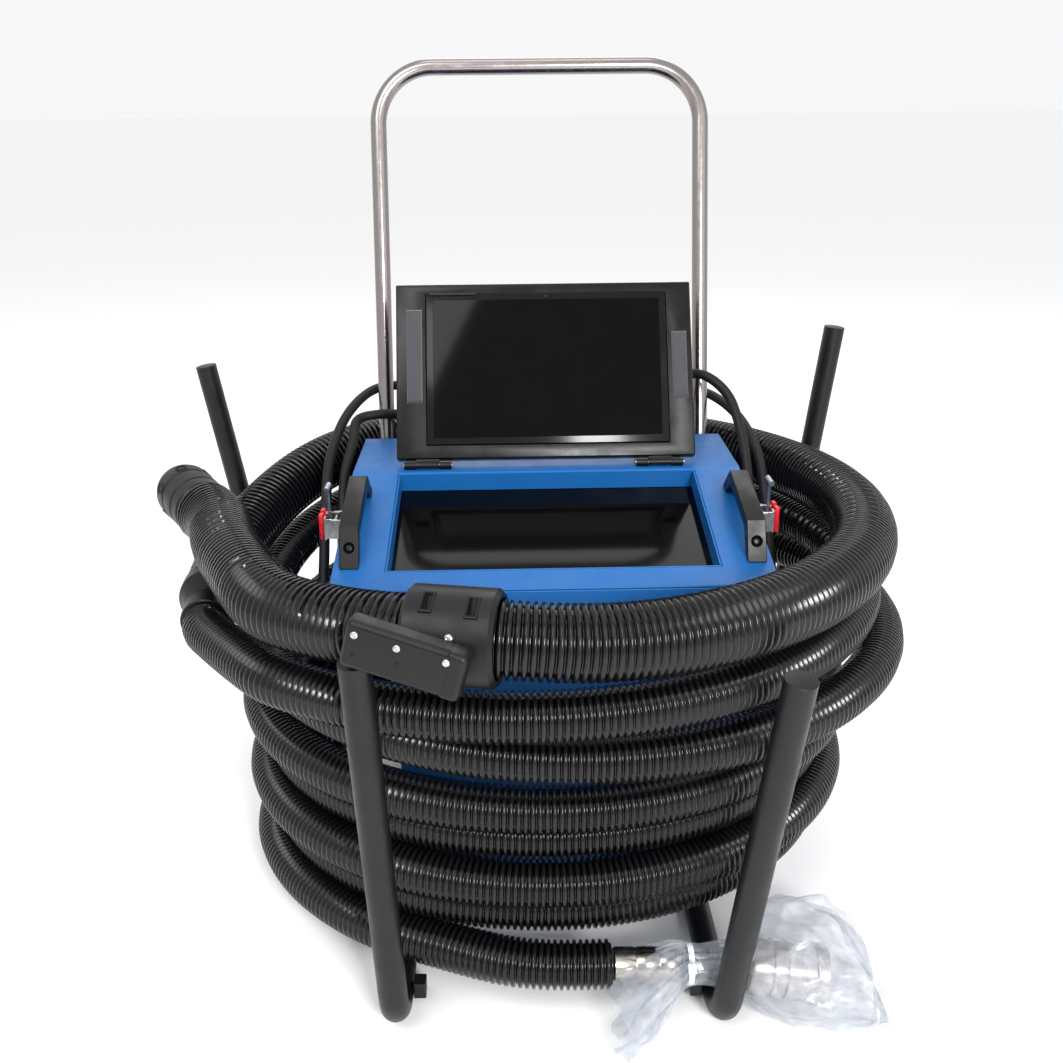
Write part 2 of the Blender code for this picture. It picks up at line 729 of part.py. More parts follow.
def cradle():
    """Two rails whose front ends turn up as posts, the rear hoop between its own two posts."""
    for name, side in SIDES:
        top, foot = POST_TOP[name], POST_FOOT[name]
        rear = HOOP_Y - HOOP_RADIUS - GAP
        path = rounded_path([top, (*foot, RAIL_RADIUS), (foot[0], rear, RAIL_RADIUS)], FOOT_BEND)
        rail = as_mesh(tube(path, RAIL_RADIUS, resolution=4))
        smooth(rail)
        put(rail, f"rail_and_post_{name}", "black_powder")
        inner = foot[0] - side * (RAIL_RADIUS + GAP)
        xs = sorted((inner, inner - side * LUG_WIDTH))
        lug = block((xs[0], foot[1] + 0.031, 0.008), (xs[1], foot[1] + 0.045, 0.024))
        put(lug, f"rail_lug_{name}", "black_powder")
    corners = [HOOP_TOP_LEFT, (HOOP_FOOT_LEFT, HOOP_Y, RAIL_RADIUS), (HOOP_FOOT_RIGHT, HOOP_Y, RAIL_RADIUS),
               HOOP_TOP_RIGHT]
    hoop = as_mesh(tube(rounded_path(corners, HOOP_BEND), HOOP_RADIUS, resolution=4))
    smooth(hoop)
    put(hoop, "rear_hoop", "black_powder")
    low = 2 * RAIL_RADIUS + GAP
    plate = block((-PLATE_HALF_WIDTH, -PLATE_HALF_DEPTH, low), (PLATE_HALF_WIDTH, PLATE_HALF_DEPTH,
                                                               low + PLATE_THICKNESS))
    put(plate, "base_plate", "black_powder")


def wheel(name, side):
    """A rear wheel on the axle, beside the plate on the hoop's bar that holds the axle."""
    x = side * BRACKET_X
    bracket = block((x - 0.003, HOOP_Y + HOOP_RADIUS + GAP, 0.004), (x + 0.003, AXLE_Y + 0.012, 0.058))
    boolean(bracket, rod((x - 0.02, AXLE_Y, WHEEL_RADIUS), (x + 0.02, AXLE_Y, WHEEL_RADIUS),
                         AXLE_RADIUS + GAP, 20))
    put(bracket, f"axle_bracket_{name}", "black_powder")
    hang_helpers(bracket)
    half = WHEEL_WIDTH / 2
    bore = AXLE_RADIUS + GAP
    dish = WHEEL_RADIUS * 0.62
    profile = [(bore, half + 0.003), (0.012, half + 0.003), (0.013, 0.005), (dish - 0.003, 0.005),
               (dish, half - 0.001), (WHEEL_RADIUS - 0.005, half), (WHEEL_RADIUS - 0.001, half - 0.005),
               (WHEEL_RADIUS, 0.0), (WHEEL_RADIUS - 0.001, 0.005 - half), (WHEEL_RADIUS - 0.005, -half),
               (dish, 0.001 - half), (dish - 0.003, -0.005), (0.013, -0.005), (0.012, -half - 0.003),
               (bore, -half - 0.003), (bore, half + 0.003)]
    frame = pivot(f"wheel_pivot_{name}", Matrix.Translation((side * WHEEL_X, AXLE_Y, WHEEL_RADIUS)))
    put_turned(profile, (0, 0, 0), (1, 0, 0), f"wheel_{name}", "tyre", frame)


def axle():
    reach = WHEEL_X + WHEEL_WIDTH / 2 + 0.008
    put(rod((-reach, AXLE_Y, WHEEL_RADIUS), (reach, AXLE_Y, WHEEL_RADIUS), AXLE_RADIUS), "wheel_axle",
        "bright_steel")


def push_handle():
    """Stainless U of tube that leans back from the console's rear wall, in two saddle clamps."""
    y = CONSOLE_REAR_Y + PUSH_STAND_OFF
    left, right = PUSH_X - PUSH_HALF_WIDTH, PUSH_X + PUSH_HALF_WIDTH
    corners = [(left, y, PUSH_FOOT_Z), (left, y, PUSH_KNEE_Z), (left, PUSH_TOP_Y, PUSH_TOP_Z),
               (right, PUSH_TOP_Y, PUSH_TOP_Z), (right, y, PUSH_KNEE_Z), (right, y, PUSH_FOOT_Z)]
    handle = as_mesh(tube(rounded_path(corners, PUSH_BEND), PUSH_RADIUS, resolution=4))
    smooth(handle)
    put(handle, "push_handle", "stainless")
    for name, x in (("left", left), ("right", right)):
        saddle = block((x - 0.014, CONSOLE_REAR_Y + GAP, 0.318), (x + 0.014, y + PUSH_RADIUS + 0.003, 0.343))
        boolean(saddle, rod((x, y, 0.30), (x, y, 0.40), PUSH_RADIUS + GAP, 28))
        soften(saddle, 0.001, 1)
        put(saddle, f"handle_clamp_{name}", "black_satin")
        hang_helpers(saddle)


# ---- Hoses, camera head and cables ----------------------------------------------------------------


def big_path():
    """The upper hose: out of the cuff, once round the console, and down under its own start."""
    start = [(-0.336, 0.000, 0.379), (-0.314, -0.030, 0.377), (-0.297, -0.085, 0.376),
             (-0.258, -0.165, 0.375)]
    around = turn_path(BIG_CENTRE, BIG_RADII, (BIG_Z, BIG_Z), BIG_FROM, BIG_TO, 30)
    tail = turn_path(BIG_CENTRE, BIG_RADII, (BIG_Z, BIG_TAIL_Z), BIG_TO, BIG_TAIL_TO, 10)
    for point in around:
        point.z += BIG_LIFT * math.exp(-(((point.x - COUPLING_X) / 0.09) ** 2)) * (point.y < 0)
    return smooth_path([*start, *around, *tail[1:]], 52)


def upper_hose():
    """The wide hose with the round cuff on its free end and the cone that steps it down."""
    path = big_path()
    put(tube(path, BIG_HOSE / 2), "upper_hose", "corrugated")
    away = (path[0] - path[1]).normalized()
    start = path[0] + away * GAP
    cuff = [(0, 0.078), (0.014, 0.078), (0.0235, 0.073), (0.0285, 0.062), (0.0285, 0.004), (0.0270, 0.0),
            (0, 0)]
    put_turned(cuff, start, start + away, "end_cuff", "black_satin")
    on = (path[-1] - path[-2]).normalized()
    start = path[-1] + on * GAP
    cone = [(0, REDUCER_LENGTH), (HOSE / 2 + 0.001, REDUCER_LENGTH), (HOSE / 2 + 0.001, 0.032),
            (BIG_HOSE / 2, 0.012), (BIG_HOSE / 2, 0.0), (0, 0)]
    put_turned(cone, start, start + on, "hose_reducer", "black_satin")


def coupling():
    """Split sleeve clamped on the upper hose, with the clasp housing on its outer side."""
    share = (COUPLING_X - BIG_CENTRE[0]) / BIG_RADII[0]
    angle = -math.acos(share)
    centre = Vector((COUPLING_X, BIG_CENTRE[1] + BIG_RADII[1] * math.sin(angle), BIG_Z + BIG_LIFT))
    tangent = Vector((-BIG_RADII[0] * math.sin(angle), BIG_RADII[1] * math.cos(angle), 0)).normalized()
    inward = Vector((0, 0, 1)).cross(tangent)
    bore, outer, half = BIG_HOSE / 2 + HOSE_PLAY, COUPLING_RADIUS, COUPLING_LENGTH / 2
    bevel = (outer - bore) * 0.7
    profile = [(bore, half), (outer - bevel, half), (outer, half - bevel), (outer, bevel - half),
               (outer - bevel, -half), (bore, -half), (bore, half)]
    put_turned(profile, centre, centre + tangent, "coupling_sleeve", "black_satin")
    frame = Matrix.Translation(centre) @ Matrix((
        (tangent.x, inward.x, 0, 0), (tangent.y, inward.y, 0, 0), (0, 0, 1, 0), (0, 0, 0, 1)))
    tilt = Matrix.Translation((CLASP_SHIFT, 0, CLASP_RISE)) @ Matrix.Rotation(CLASP_TILT, 4, "Y")
    near = outer + GAP
    body = block((-CLASP_LENGTH / 2, -near - CLASP_DEPTH, -CLASP_HEIGHT / 2),
                 (CLASP_LENGTH / 2, -near, CLASP_HEIGHT / 2))
    soften(body, 0.005)
    body.data.transform(frame @ tilt)
    put(body, "clasp_housing", "black_satin")


def ring(name, centre, radii, z):
    """One closed turn of the thin hose."""
    path = turn_path(centre, radii, (z, z), 0.0, 360.0, 41)[:-1]
    put(tube(path, HOSE / 2, cyclic=True), name, "corrugated")


def lower_hoses():
    """Two loose turns of the thin hose on top of the stack of four nested turns."""
    path = big_path()
    on = (path[-1] - path[-2]).normalized()
    start = path[-1] + on * (REDUCER_LENGTH + 2 * GAP)
    lead = [start, start + on * 0.044, start + on * 0.058]
    turn = turn_path(SECOND_CENTRE, SECOND_RADII, (SECOND_Z, SECOND_Z), 228.0, 500.0, 30)
    put(tube(smooth_path([*lead, *turn], 40), HOSE / 2), "hose_second_turn", "corrugated")
    ring("hose_third_turn", THIRD_CENTRE, THIRD_RADII, THIRD_Z)
    low = LAY_HEIGHT + HOSE / 2 + 2 * GAP
    inner, outer = COIL_A - COIL_NEST - HOSE / 2, COIL_A + HOSE / 2
    corner = HOSE * 0.42
    profile = [(outer - corner, STACK_TOP), (outer, STACK_TOP - corner), (outer, low + corner),
               (outer - corner, low), (inner + corner, low), (inner, low + corner),
               (inner, STACK_TOP - corner), (inner + corner, STACK_TOP), (outer - corner, STACK_TOP)]
    stack = put_turned(profile, (0, 0, 0), (0, 0, 1), "hose_coil", "corrugated", origin, 44)
    stack.scale = (1.0, (COIL_B + HOSE / 2) / (COIL_A + HOSE / 2), 1.0)
    stack.location = (COIL_X, 0, 0)


def run_out():
    """The lowest turn, which leaves the coil at the front and ends at the camera head."""
    lay = LAY_HEIGHT
    arc = turn_path((COIL_X, 0), (COIL_A, COIL_B), (lay, lay), 128.0, 248.0, 22)
    ahead = [(-0.055, HEAD_Y + 0.0095, lay), (-0.020, HEAD_Y + 0.002, lay), (0.012, HEAD_Y, lay),
             (HOSE_END_X, HEAD_Y, lay)]
    put(tube(smooth_path([*arc, *ahead], 40), HOSE / 2), "hose_run_out", "corrugated")


def neck_point(x):
    """A point on the line of the clamp sleeve and the boot, which sinks slightly towards +X."""
    return Vector((x, HEAD_Y, LAY_HEIGHT - NECK_FALL * (x - HOSE_END_X)))


def camera_head():
    """Clamp sleeve, ribbed boot and camera body, in the bag whose neck a tie closes."""
    def at(x):
        return neck_point(x), neck_point(x + 1.0)

    put_turned([(0, 0.060), (0.0115, 0.060), (0.0145, 0.056), (0.0145, 0.004), (0.013, 0.0), (0, 0)],
               *at(HOSE_END_X + GAP + 0.0003), "hose_end_sleeve", "bright_steel")
    ribs = []
    for k in range(BOOT_RIBS):
        start = 0.002 + k * BOOT_PITCH
        ribs += [(BOOT_RADIUS - 0.002, start), (BOOT_RADIUS, start + 0.0012),
                 (BOOT_RADIUS, start + BOOT_PITCH - 0.0026),
                 (BOOT_RADIUS - 0.002, start + BOOT_PITCH - 0.0014)]
    length = 0.004 + BOOT_RIBS * BOOT_PITCH
    boot = [(0, length), (BOOT_RADIUS - 0.002, length), *reversed(ribs), (BOOT_RADIUS - 0.002, 0.0), (0, 0)]
    put_turned(boot, *at(HOSE_END_X + 0.0613), "ribbed_boot", "black_satin", origin, 16)

    start = neck_point(HEAD_X)
    towards = start + Vector((1.0, -HEAD_TURN, -HEAD_FALL))
    r = HEAD_RADIUS
    face = HEAD_LENGTH - 0.006
    body = [(0, face), (r - 0.004, face), (r - 0.004, HEAD_LENGTH), (r, HEAD_LENGTH),
            (r, HEAD_LENGTH - 0.010), (r - 0.0016, HEAD_LENGTH - 0.011), (r - 0.0016, 0.040),
            (r - 0.003, 0.039), (r - 0.003, 0.037), (r - 0.0016, 0.036), (r - 0.0016, 0.028),
            (r - 0.003, 0.027), (r - 0.003, 0.025), (r - 0.0016, 0.024), (r - 0.0016, 0.010),
            (r - 0.010, 0.0), (0, 0)]
    put_turned(body, start, towards, "camera_body", "bright_steel")
    ahead = (towards - start).normalized()
    lens = [(0, 0.0045), (r - 0.0060, 0.0045), (r - 0.0045, 0.0030), (r - 0.0045, 0.0), (0, 0)]
    start += ahead * (face + GAP)
    put_turned(lens, start, start + ahead, "camera_lens", "screen_glass")

    neck = BOOT_RADIUS + 0.0008
    wall = FILM
    belly = BAG_RADIUS - wall
    tie = [(neck + wall + GAP, 0.0025), (neck + wall + 0.0018, 0.0025), (neck + wall + 0.0018, -0.0025),
           (neck + wall + GAP, -0.0025), (neck + wall + GAP, 0.0025)]
    put_turned(tie, *at(TIE_X), "cable_tie", "nylon")
    mouth = HOSE_END_X + 0.015
    inner = [(0.0240, 0.0), (0.0190, TIE_X - mouth - 0.020), (neck, TIE_X - mouth - 0.005),
             (neck, HEAD_X - mouth - 0.009), (belly * 0.86, HEAD_X - mouth - 0.001),
             (belly, HEAD_X - mouth + 0.020), (belly, BAG_END - mouth - 0.014)]
    skin = [(radius + wall, along_x) for radius, along_x in inner]
    tip = [(belly * 0.72, BAG_END - mouth), (0, BAG_END - mouth)]
    tip_in = [(0, BAG_END - mouth - wall), (belly * 0.70, BAG_END - mouth - wall)]
    profile = [*reversed(tip), *reversed(skin), *inner, *reversed(tip_in)]
    put_turned(profile, *at(mouth), "protective_bag", "clear_film")


def cables():
    """Rubber cables from the console's rear wall round both sides and into the cabinet's walls."""
    rear = CONSOLE_REAR_Y + CABLE_GAP
    wall = CABINET_HALF_WIDTH + CABLE_GAP
    near = CONSOLE_HALF_WIDTH + 0.0165
    far = CONSOLE_HALF_WIDTH + 0.0345
    routes = {
        "cable_left_outer": [(-0.10, rear, 0.366), (-0.101, rear + 0.020, 0.366), (-0.114, 0.182, 0.402),
                             (-0.148, 0.166, 0.426), (0.0115 - near, 0.150, 0.428), (0.006 - near, 0.118, 0.410),
                             (-near, 0.080, 0.384), (-near, 0.045, 0.345), (0.002 - near, 0.020, 0.305),
                             (-0.196, 0.012, 0.268), (-0.172, 0.018, 0.251), (-wall, 0.020, 0.250)],
        "cable_left_inner": [(-0.07, rear, 0.366), (-0.070, rear + 0.022, 0.366), (-0.084, 0.216, 0.400),
                             (-0.130, 0.226, 0.438), (-0.182, 0.214, 0.446), (0.016 - far, 0.165, 0.432),
                             (0.002 - far, 0.105, 0.402), (-far, 0.060, 0.365), (0.002 - far, 0.015, 0.325),
                             (0.006 - far, -0.025, 0.294), (-0.206, -0.062, 0.262), (-0.176, -0.080, 0.250),
                             (-wall, -0.080, 0.249)],
        "cable_right_outer": [(0.10, rear, 0.366), (0.101, rear + 0.020, 0.366), (0.114, 0.186, 0.410),
                              (0.140, 0.168, 0.455), (0.168, 0.146, 0.473), (near - 0.014, 0.128, 0.456),
                              (near - 0.003, 0.098, 0.424), (near, 0.064, 0.386), (near, 0.036, 0.345),
                              (near - 0.002, 0.014, 0.303), (0.196, 0.010, 0.267), (0.172, 0.018, 0.251),
                              (wall, 0.020, 0.250)],
        "cable_right_inner": [(0.07, rear, 0.366), (0.070, rear + 0.022, 0.366), (0.084, 0.220, 0.400),
                              (0.130, 0.232, 0.430), (0.182, 0.218, 0.436), (far - 0.014, 0.165, 0.424),
                              (far, 0.108, 0.398), (far + 0.001, 0.060, 0.362), (far - 0.002, 0.015, 0.322),
                              (far - 0.006, -0.025, 0.293), (0.206, -0.062, 0.262), (0.176, -0.080, 0.250),
                              (wall, -0.080, 0.249)],
    }
    for name, route in routes.items():
        put(tube(smooth_path(route, 24), CABLE / 2), name, "cable_rubber")


def centre_on_footprint():
    """Moves the assembly so that its origin is under the middle of the pieces that are not on a cord."""
    bpy.context.view_layer.update()
    graph = bpy.context.evaluated_depsgraph_get()
    lows, highs = [], []
    for obj in parts.objects:
        if obj.type == "EMPTY" or obj.name.startswith(ON_A_CORD):
            continue
        evaluated = obj.evaluated_get(graph)
        points = [evaluated.matrix_world @ vert.co for vert in evaluated.to_mesh().vertices]
        evaluated.to_mesh_clear()
        lows.append([min(point[i] for point in points) for i in range(2)])
        highs.append([max(point[i] for point in points) for i in range(2)])
    middle = [(min(low[i] for low in lows) + max(high[i] for high in highs)) / 2 for i in range(2)]
    origin.location = (-middle[0], -middle[1], 0.0)


console_body()
top_frame()
screen_well()
cabinet()
lid_pieces()
hinges()
carry_handles()
cradle()
axle()
for side_name, side_sign in SIDES:
    latch(side_name, side_sign)
    wheel(side_name, side_sign)
push_handle()
upper_hose()
coupling()
lower_hoses()
run_out()
camera_head()
cables()
centre_on_footprint()
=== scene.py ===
import logging
import math
from dataclasses import dataclass, field
from enum import Enum

import bmesh
import bpy
import numpy as np
from mathutils import Matrix, Vector


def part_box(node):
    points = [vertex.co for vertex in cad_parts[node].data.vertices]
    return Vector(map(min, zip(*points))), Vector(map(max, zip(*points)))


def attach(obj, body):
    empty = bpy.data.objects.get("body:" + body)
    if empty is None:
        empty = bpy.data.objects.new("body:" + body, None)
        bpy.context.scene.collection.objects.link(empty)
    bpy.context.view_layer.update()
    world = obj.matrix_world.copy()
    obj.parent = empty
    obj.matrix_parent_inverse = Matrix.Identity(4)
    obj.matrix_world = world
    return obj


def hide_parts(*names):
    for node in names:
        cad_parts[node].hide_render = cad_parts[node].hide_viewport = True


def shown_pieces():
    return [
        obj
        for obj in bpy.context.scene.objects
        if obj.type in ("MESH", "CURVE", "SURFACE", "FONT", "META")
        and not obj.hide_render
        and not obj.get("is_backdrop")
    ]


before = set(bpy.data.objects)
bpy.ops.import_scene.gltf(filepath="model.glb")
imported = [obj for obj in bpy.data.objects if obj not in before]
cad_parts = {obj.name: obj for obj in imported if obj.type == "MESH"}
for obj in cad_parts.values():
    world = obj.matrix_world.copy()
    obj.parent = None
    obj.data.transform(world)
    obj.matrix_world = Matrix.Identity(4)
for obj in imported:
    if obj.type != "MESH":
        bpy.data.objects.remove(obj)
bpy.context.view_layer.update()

LOG = logging.getLogger("inspection_camera")
MM = 0.001
CRADLE = "cradle"
LID = "lid"
UP = np.array([0.0, 0.0, 1.0])
ACROSS = np.array([1.0, 0.0, 0.0])
REARWARD = np.array([0.0, 1.0, 0.0])

# The push handle's legs stand this far to each side of this line, in the design's own frame.
PUSH_CENTRE_X = 0.002
PUSH_HALF_WIDTH = 0.1755

# The axle lies on the middle plane, 290 mm behind the coil's centre line: the design's own origin.
AXLE_BEHIND = 0.290
_axle_low, _axle_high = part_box("wheel_axle")
_axle = (_axle_low + _axle_high) / 2
SHIFT = np.array([_axle.x, _axle.y - AXLE_BEHIND, 0.0])


def design(*point: float) -> np.ndarray:
    """A point of the design's own frame, centred under the coil, in the shared frame."""
    return np.array(point, float) + SHIFT


# ---- Materials --------------------------------------------------------------------------------


def linear(code: str) -> tuple[float, float, float, float]:
    """An sRGB hex colour as linear light.

    Args:
        code: Six hex digits after a hash sign.

    Returns:
        Red, green, blue and alpha, with alpha 1.
    """
    values = [int(code[i : i + 2], 16) / 255 for i in (1, 3, 5)]
    light = [v / 12.92 if v <= 0.04045 else ((v + 0.055) / 1.055) ** 2.4 for v in values]
    return (*light, 1.0)


def add_node(tree: bpy.types.NodeTree, kind: str, links: dict | None = None,
             **settings) -> bpy.types.Node:
    """Adds a node, sets its values and links its inputs.

    Args:
        tree: The material's node tree.
        kind: The node's type name.
        links: Input name or number to the output socket that feeds it.
        settings: Attributes by name; a name that starts with in_ is an input's value, and
            underscores in it are spaces.

    Returns:
        The new node.
    """
    node = tree.nodes.new(kind)
    for name, value in settings.items():
        if name.startswith("in_"):
            node.inputs[name[3:].replace("_", " ")].default_value = value
        else:
            setattr(node, name, value)
    for name, socket in (links or {}).items():
        tree.links.new(socket, node.inputs[name])
    return node


class Surface(Enum):
    """How a finish breaks up the light."""

    WRINKLE = "fine wrinkled powder coat"
    SMOOTH = "smooth and lightly smudged"
    BRUSHED = "fine lines along one axis"
    FIBRE = "felted fibres"
    MOULDED = "spark-eroded grain"
    # RIBBED paints the grooves darker than the crests: painted shade in the grooves; the gloss is the same
    # on both.
    RIBBED = "glossy crests over dull, dusty grooves"


@dataclass(frozen=True)
class Finish:
    """One real finish: its colours, gloss and relief."""

    name: str
    base: str
    accent: str
    roughness: float
    surface: Surface
    grain_mm: float = 1.0
    metallic: float = 0.0
    relief_mm: float = 0.05
    coat: float = 0.0
    sheen: float = 0.0
    alpha: float = 1.0
    spread: float = 0.08
    stretch: tuple[float, float, float] = (1.0, 1.0, 1.0)
    glow: float = 0.0
    specular: float = 0.3

    def material(self) -> bpy.types.Material:
        """Builds the material once.

        The grain is noise at the grain's real size on Object coordinates. It mixes the two
        colours and gives the relief, and a noise ten times as coarse varies the roughness.

        Returns:
            The material of this name.
        """
        if self.name in bpy.data.materials:
            return bpy.data.materials[self.name]
        made = bpy.data.materials.new(self.name)
        made.use_nodes = True
        tree = made.node_tree
        shader = tree.nodes["Principled BSDF"]
        place = add_node(tree, "ShaderNodeTexCoord").outputs["Object"]
        mapping = add_node(tree, "ShaderNodeMapping", {"Vector": place}, in_Scale=self.stretch)
        mapped = mapping.outputs[0]
        per_metre = 1.0 / (self.grain_mm * MM)
        grain = add_node(tree, "ShaderNodeTexNoise", {"Vector": mapped}, in_Scale=per_metre,
                         in_Detail=4.0, in_Roughness=0.6)
        height = grain.outputs["Fac"]
        if self.surface is Surface.WRINKLE:
            cells = add_node(tree, "ShaderNodeTexVoronoi", {"Vector": mapped},
                             in_Scale=per_metre * 0.8)
            height = add_node(tree, "ShaderNodeMath", {0: height, 1: cells.outputs["Distance"]},
                              operation="ADD").outputs[0]
        patches = add_node(tree, "ShaderNodeTexNoise", {"Vector": place}, in_Scale=per_metre * 0.04,
                           in_Detail=3.0).outputs["Fac"]
        # For ribbed hose the crest attribute picks the colour: crests take the accent and grooves the darker
        # base, as painted shade in the grooves.
        if self.surface is Surface.RIBBED:
            crest = add_node(tree, "ShaderNodeAttribute", attribute_name="crest")
            factor = crest.outputs["Fac"]
        else:
            low, high = (0.30, 0.62) if self.surface is Surface.FIBRE else (0.35, 0.75)
            factor = add_node(tree, "ShaderNodeMapRange", {"Value": height}, in_From_Min=low,
                              in_From_Max=high).outputs[0]
        colour = add_node(tree, "ShaderNodeMix", {0: factor}, data_type="RGBA")
        colour.inputs[6].default_value = linear(self.base)
        colour.inputs[7].default_value = linear(self.accent)
        tree.links.new(colour.outputs[2], shader.inputs["Base Color"])
        rough = add_node(tree, "ShaderNodeMapRange", {"Value": patches}, in_From_Min=0.3,
                         in_From_Max=0.7, in_To_Min=max(0.02, self.roughness - self.spread),
                         in_To_Max=min(1.0, self.roughness + self.spread))
        tree.links.new(rough.outputs[0], shader.inputs["Roughness"])
        if self.relief_mm:
            bump = add_node(tree, "ShaderNodeBump", {"Height": height},
                            in_Distance=self.relief_mm * MM, in_Strength=0.8)
            tree.links.new(bump.outputs[0], shader.inputs["Normal"])
        for socket, value in (
            ("Metallic", self.metallic), ("Coat Weight", self.coat), ("Coat Roughness", 0.12),
            ("Specular IOR Level", self.specular), ("Sheen Weight", self.sheen),
            ("Alpha", self.alpha),
        ):
            shader.inputs[socket].default_value = value
        if self.glow:
            shader.inputs["Emission Color"].default_value = linear(self.accent)
            shader.inputs["Emission Strength"].default_value = self.glow
        return made


# Polyester powder coat on sheet steel, baked to a fine wrinkle: a saturated blue with small glints.
BLUE_POWDER = Finish("blue_wrinkle_powder_coat", "#06447f", "#125a9b", 0.42, Surface.WRINKLE, 1.1,
                     relief_mm=0.12, coat=0.05)
# Epoxy powder coat on steel tube: near black, satin, with a faint orange peel.
BLACK_POWDER = Finish("black_satin_powder_coat", "#060607", "#0d0e0f", 0.42, Surface.WRINKLE, 0.9,
                      relief_mm=0.03)
# Blow-moulded polyamide conduit: black and fairly glossy; its grooves are painted darker than its crests, as
# painted shade.
HOSE_BLACK = Finish("black_corrugated_polyamide", "#010101", "#111113", 0.21, Surface.RIBBED, 2.5,
                    relief_mm=0.01, spread=0.05)
# Extruded rubber cable jacket: dull black.
CABLE_RUBBER = Finish("black_cable_jacket_rubber", "#0c0c0d", "#171718", 0.55, Surface.MOULDED, 1.5,
                      relief_mm=0.03)
# Glass-filled nylon mouldings: dark, even, with an eroded grain.
MOULDED_BLACK = Finish("black_moulded_nylon", "#070708", "#0e0f10", 0.42, Surface.MOULDED, 0.7,
                       relief_mm=0.04)
# Blow-moulded lid tray: glossier and blacker than the other mouldings.
LID_BLACK = Finish("black_lid_moulding", "#050506", "#0a0a0b", 0.30, Surface.MOULDED, 0.9,
                   relief_mm=0.02)
# Acrylic over black print: deep black with clear reflections.
SCREEN = Finish("black_backed_screen_glass", "#010102", "#030304", 0.07, Surface.SMOOTH, 30.0,
                relief_mm=0.0, spread=0.03, specular=0.12)
# Printed tablet border behind the glass.
SCREEN_BORDER = Finish("tablet_border_print", "#08090a", "#0e0f10", 0.16, Surface.SMOOTH, 20.0,
                       relief_mm=0.0, spread=0.04, specular=0.2)
# Needled felt pad: dark grey, no gloss.
FELT = Finish("charcoal_needle_felt", "#2a2b2e", "#4b4c50", 0.95, Surface.FIBRE, 0.6,
              relief_mm=0.35, sheen=0.35)
# Drawn stainless tube, brushed along its length: warm grey.
STAINLESS = Finish("brushed_stainless_tube", "#8a8482", "#a29c99", 0.24, Surface.BRUSHED, 0.4,
                   metallic=1.0, relief_mm=0.0, stretch=(1.0, 1.0, 0.04), spread=0.04)
# Bright zinc plate on steel stampings.
ZINC = Finish("bright_zinc_plate", "#a9acb0", "#d4d6d9", 0.28, Surface.SMOOTH, 4.0, metallic=1.0,
              relief_mm=0.01)
# Turned and polished stainless housing, with its lathe lines round X.
TURNED_STEEL = Finish("turned_stainless_steel", "#aaa49e", "#c4beb8", 0.22, Surface.BRUSHED, 0.5,
                      metallic=1.0, relief_mm=0.01, stretch=(1.0, 0.02, 0.02))
# Vinyl dip on the latch levers: strong red.
RED_DIP = Finish("red_vinyl_dip", "#b3101a", "#d8262c", 0.36, Surface.SMOOTH, 5.0,
                 relief_mm=0.05, coat=0.2)
# Moulded natural nylon tie: milky white.
WHITE_NYLON = Finish("natural_nylon", "#d9e1e8", "#f2f6f9", 0.40, Surface.SMOOTH, 3.0,
                     relief_mm=0.02)
# Polyethylene film bag: nearly clear, with a soft haze on its folds.
FILM = Finish("clear_polyethylene_film", "#aab0bc", "#e4e8ee", 0.16, Surface.SMOOTH, 9.0,
              relief_mm=0.6, alpha=0.22, specular=0.7)
# Cured tyre rubber: dark grey and dull.
TYRE = Finish("wheel_tyre_rubber", "#17181a", "#242527", 0.80, Surface.MOULDED, 1.4, relief_mm=0.05)
# Alkaline battery case and other hidden mouldings.
GREY_CASE = Finish("grey_battery_case", "#2f3236", "#3b3f44", 0.60, Surface.MOULDED, 1.0,
                   relief_mm=0.04)
# White lamp dots behind the head's window.
LAMP = Finish("lamp_lens", "#e8e4c8", "#fff8dc", 0.20, Surface.SMOOTH, 2.0, relief_mm=0.0,
              glow=0.35)


# ---- Mesh tools -------------------------------------------------------------------------------


def signed_volume(points: np.ndarray, faces: list) -> float:
    """Six times the volume under the faces' fan triangles; negative when they face in."""
    total = 0.0
    for size in (3, 4):
        some = np.array([f for f in faces if len(f) == size], int)
        if len(some):
            for k in range(1, size - 1):
                a, b, c = points[some[:, 0]], points[some[:, k]], points[some[:, k + 1]]
                total += float(np.einsum("ij,ij->i", a, np.cross(b, c)).sum())
    return total


def unit(vector: np.ndarray) -> np.ndarray:
    """The vector, or each row of vectors, at length 1."""
    return vector / np.linalg.norm(vector, axis=-1, keepdims=True)


def rows_of(faces: np.ndarray) -> list:
    """The rows of an array of point numbers as tuples."""
    return [tuple(face) for face in faces.tolist()]


def mesh_object(name: str, points: np.ndarray, faces: list, finish: Finish, smooth: bool = True,
                sharp: float = 38.0) -> bpy.types.Object:
    """A mesh object from points and faces, turned to face outwards.

    Args:
        name: The object's name.
        points: Points as rows, in metres.
        faces: Three or four point numbers each.
        finish: What it is made of.
        smooth: Whether round faces shade smooth.
        sharp: The angle in degrees from which an edge stays sharp.

    Returns:
        The linked object at the origin.
    """
    if signed_volume(points, faces) < 0:
        faces = [tuple(reversed(f)) for f in faces]
    mesh = bpy.data.meshes.new(name)
    mesh.from_pydata(points.tolist(), [], faces)
    mesh.update()
    made = bpy.data.objects.new(name, mesh)
    bpy.context.scene.collection.objects.link(made)
    mesh.materials.append(finish.material())
    if smooth:
        mesh.shade_smooth()
        mesh.set_sharp_from_angle(angle=math.radians(sharp))
    return made


def grid_faces(rows: int, columns: int, closed: bool) -> np.ndarray:
    """Four point numbers for each cell of a grid whose columns may close on themselves."""
    across = columns if closed else columns - 1
    row, column = np.meshgrid(np.arange(rows - 1), np.arange(across), indexing="ij")
    after = (column + 1) % columns
    cells = [row * columns + column, row * columns + after, (row + 1) * columns + after,
             (row + 1) * columns + column]
    return np.stack([c.ravel() for c in cells], axis=1)


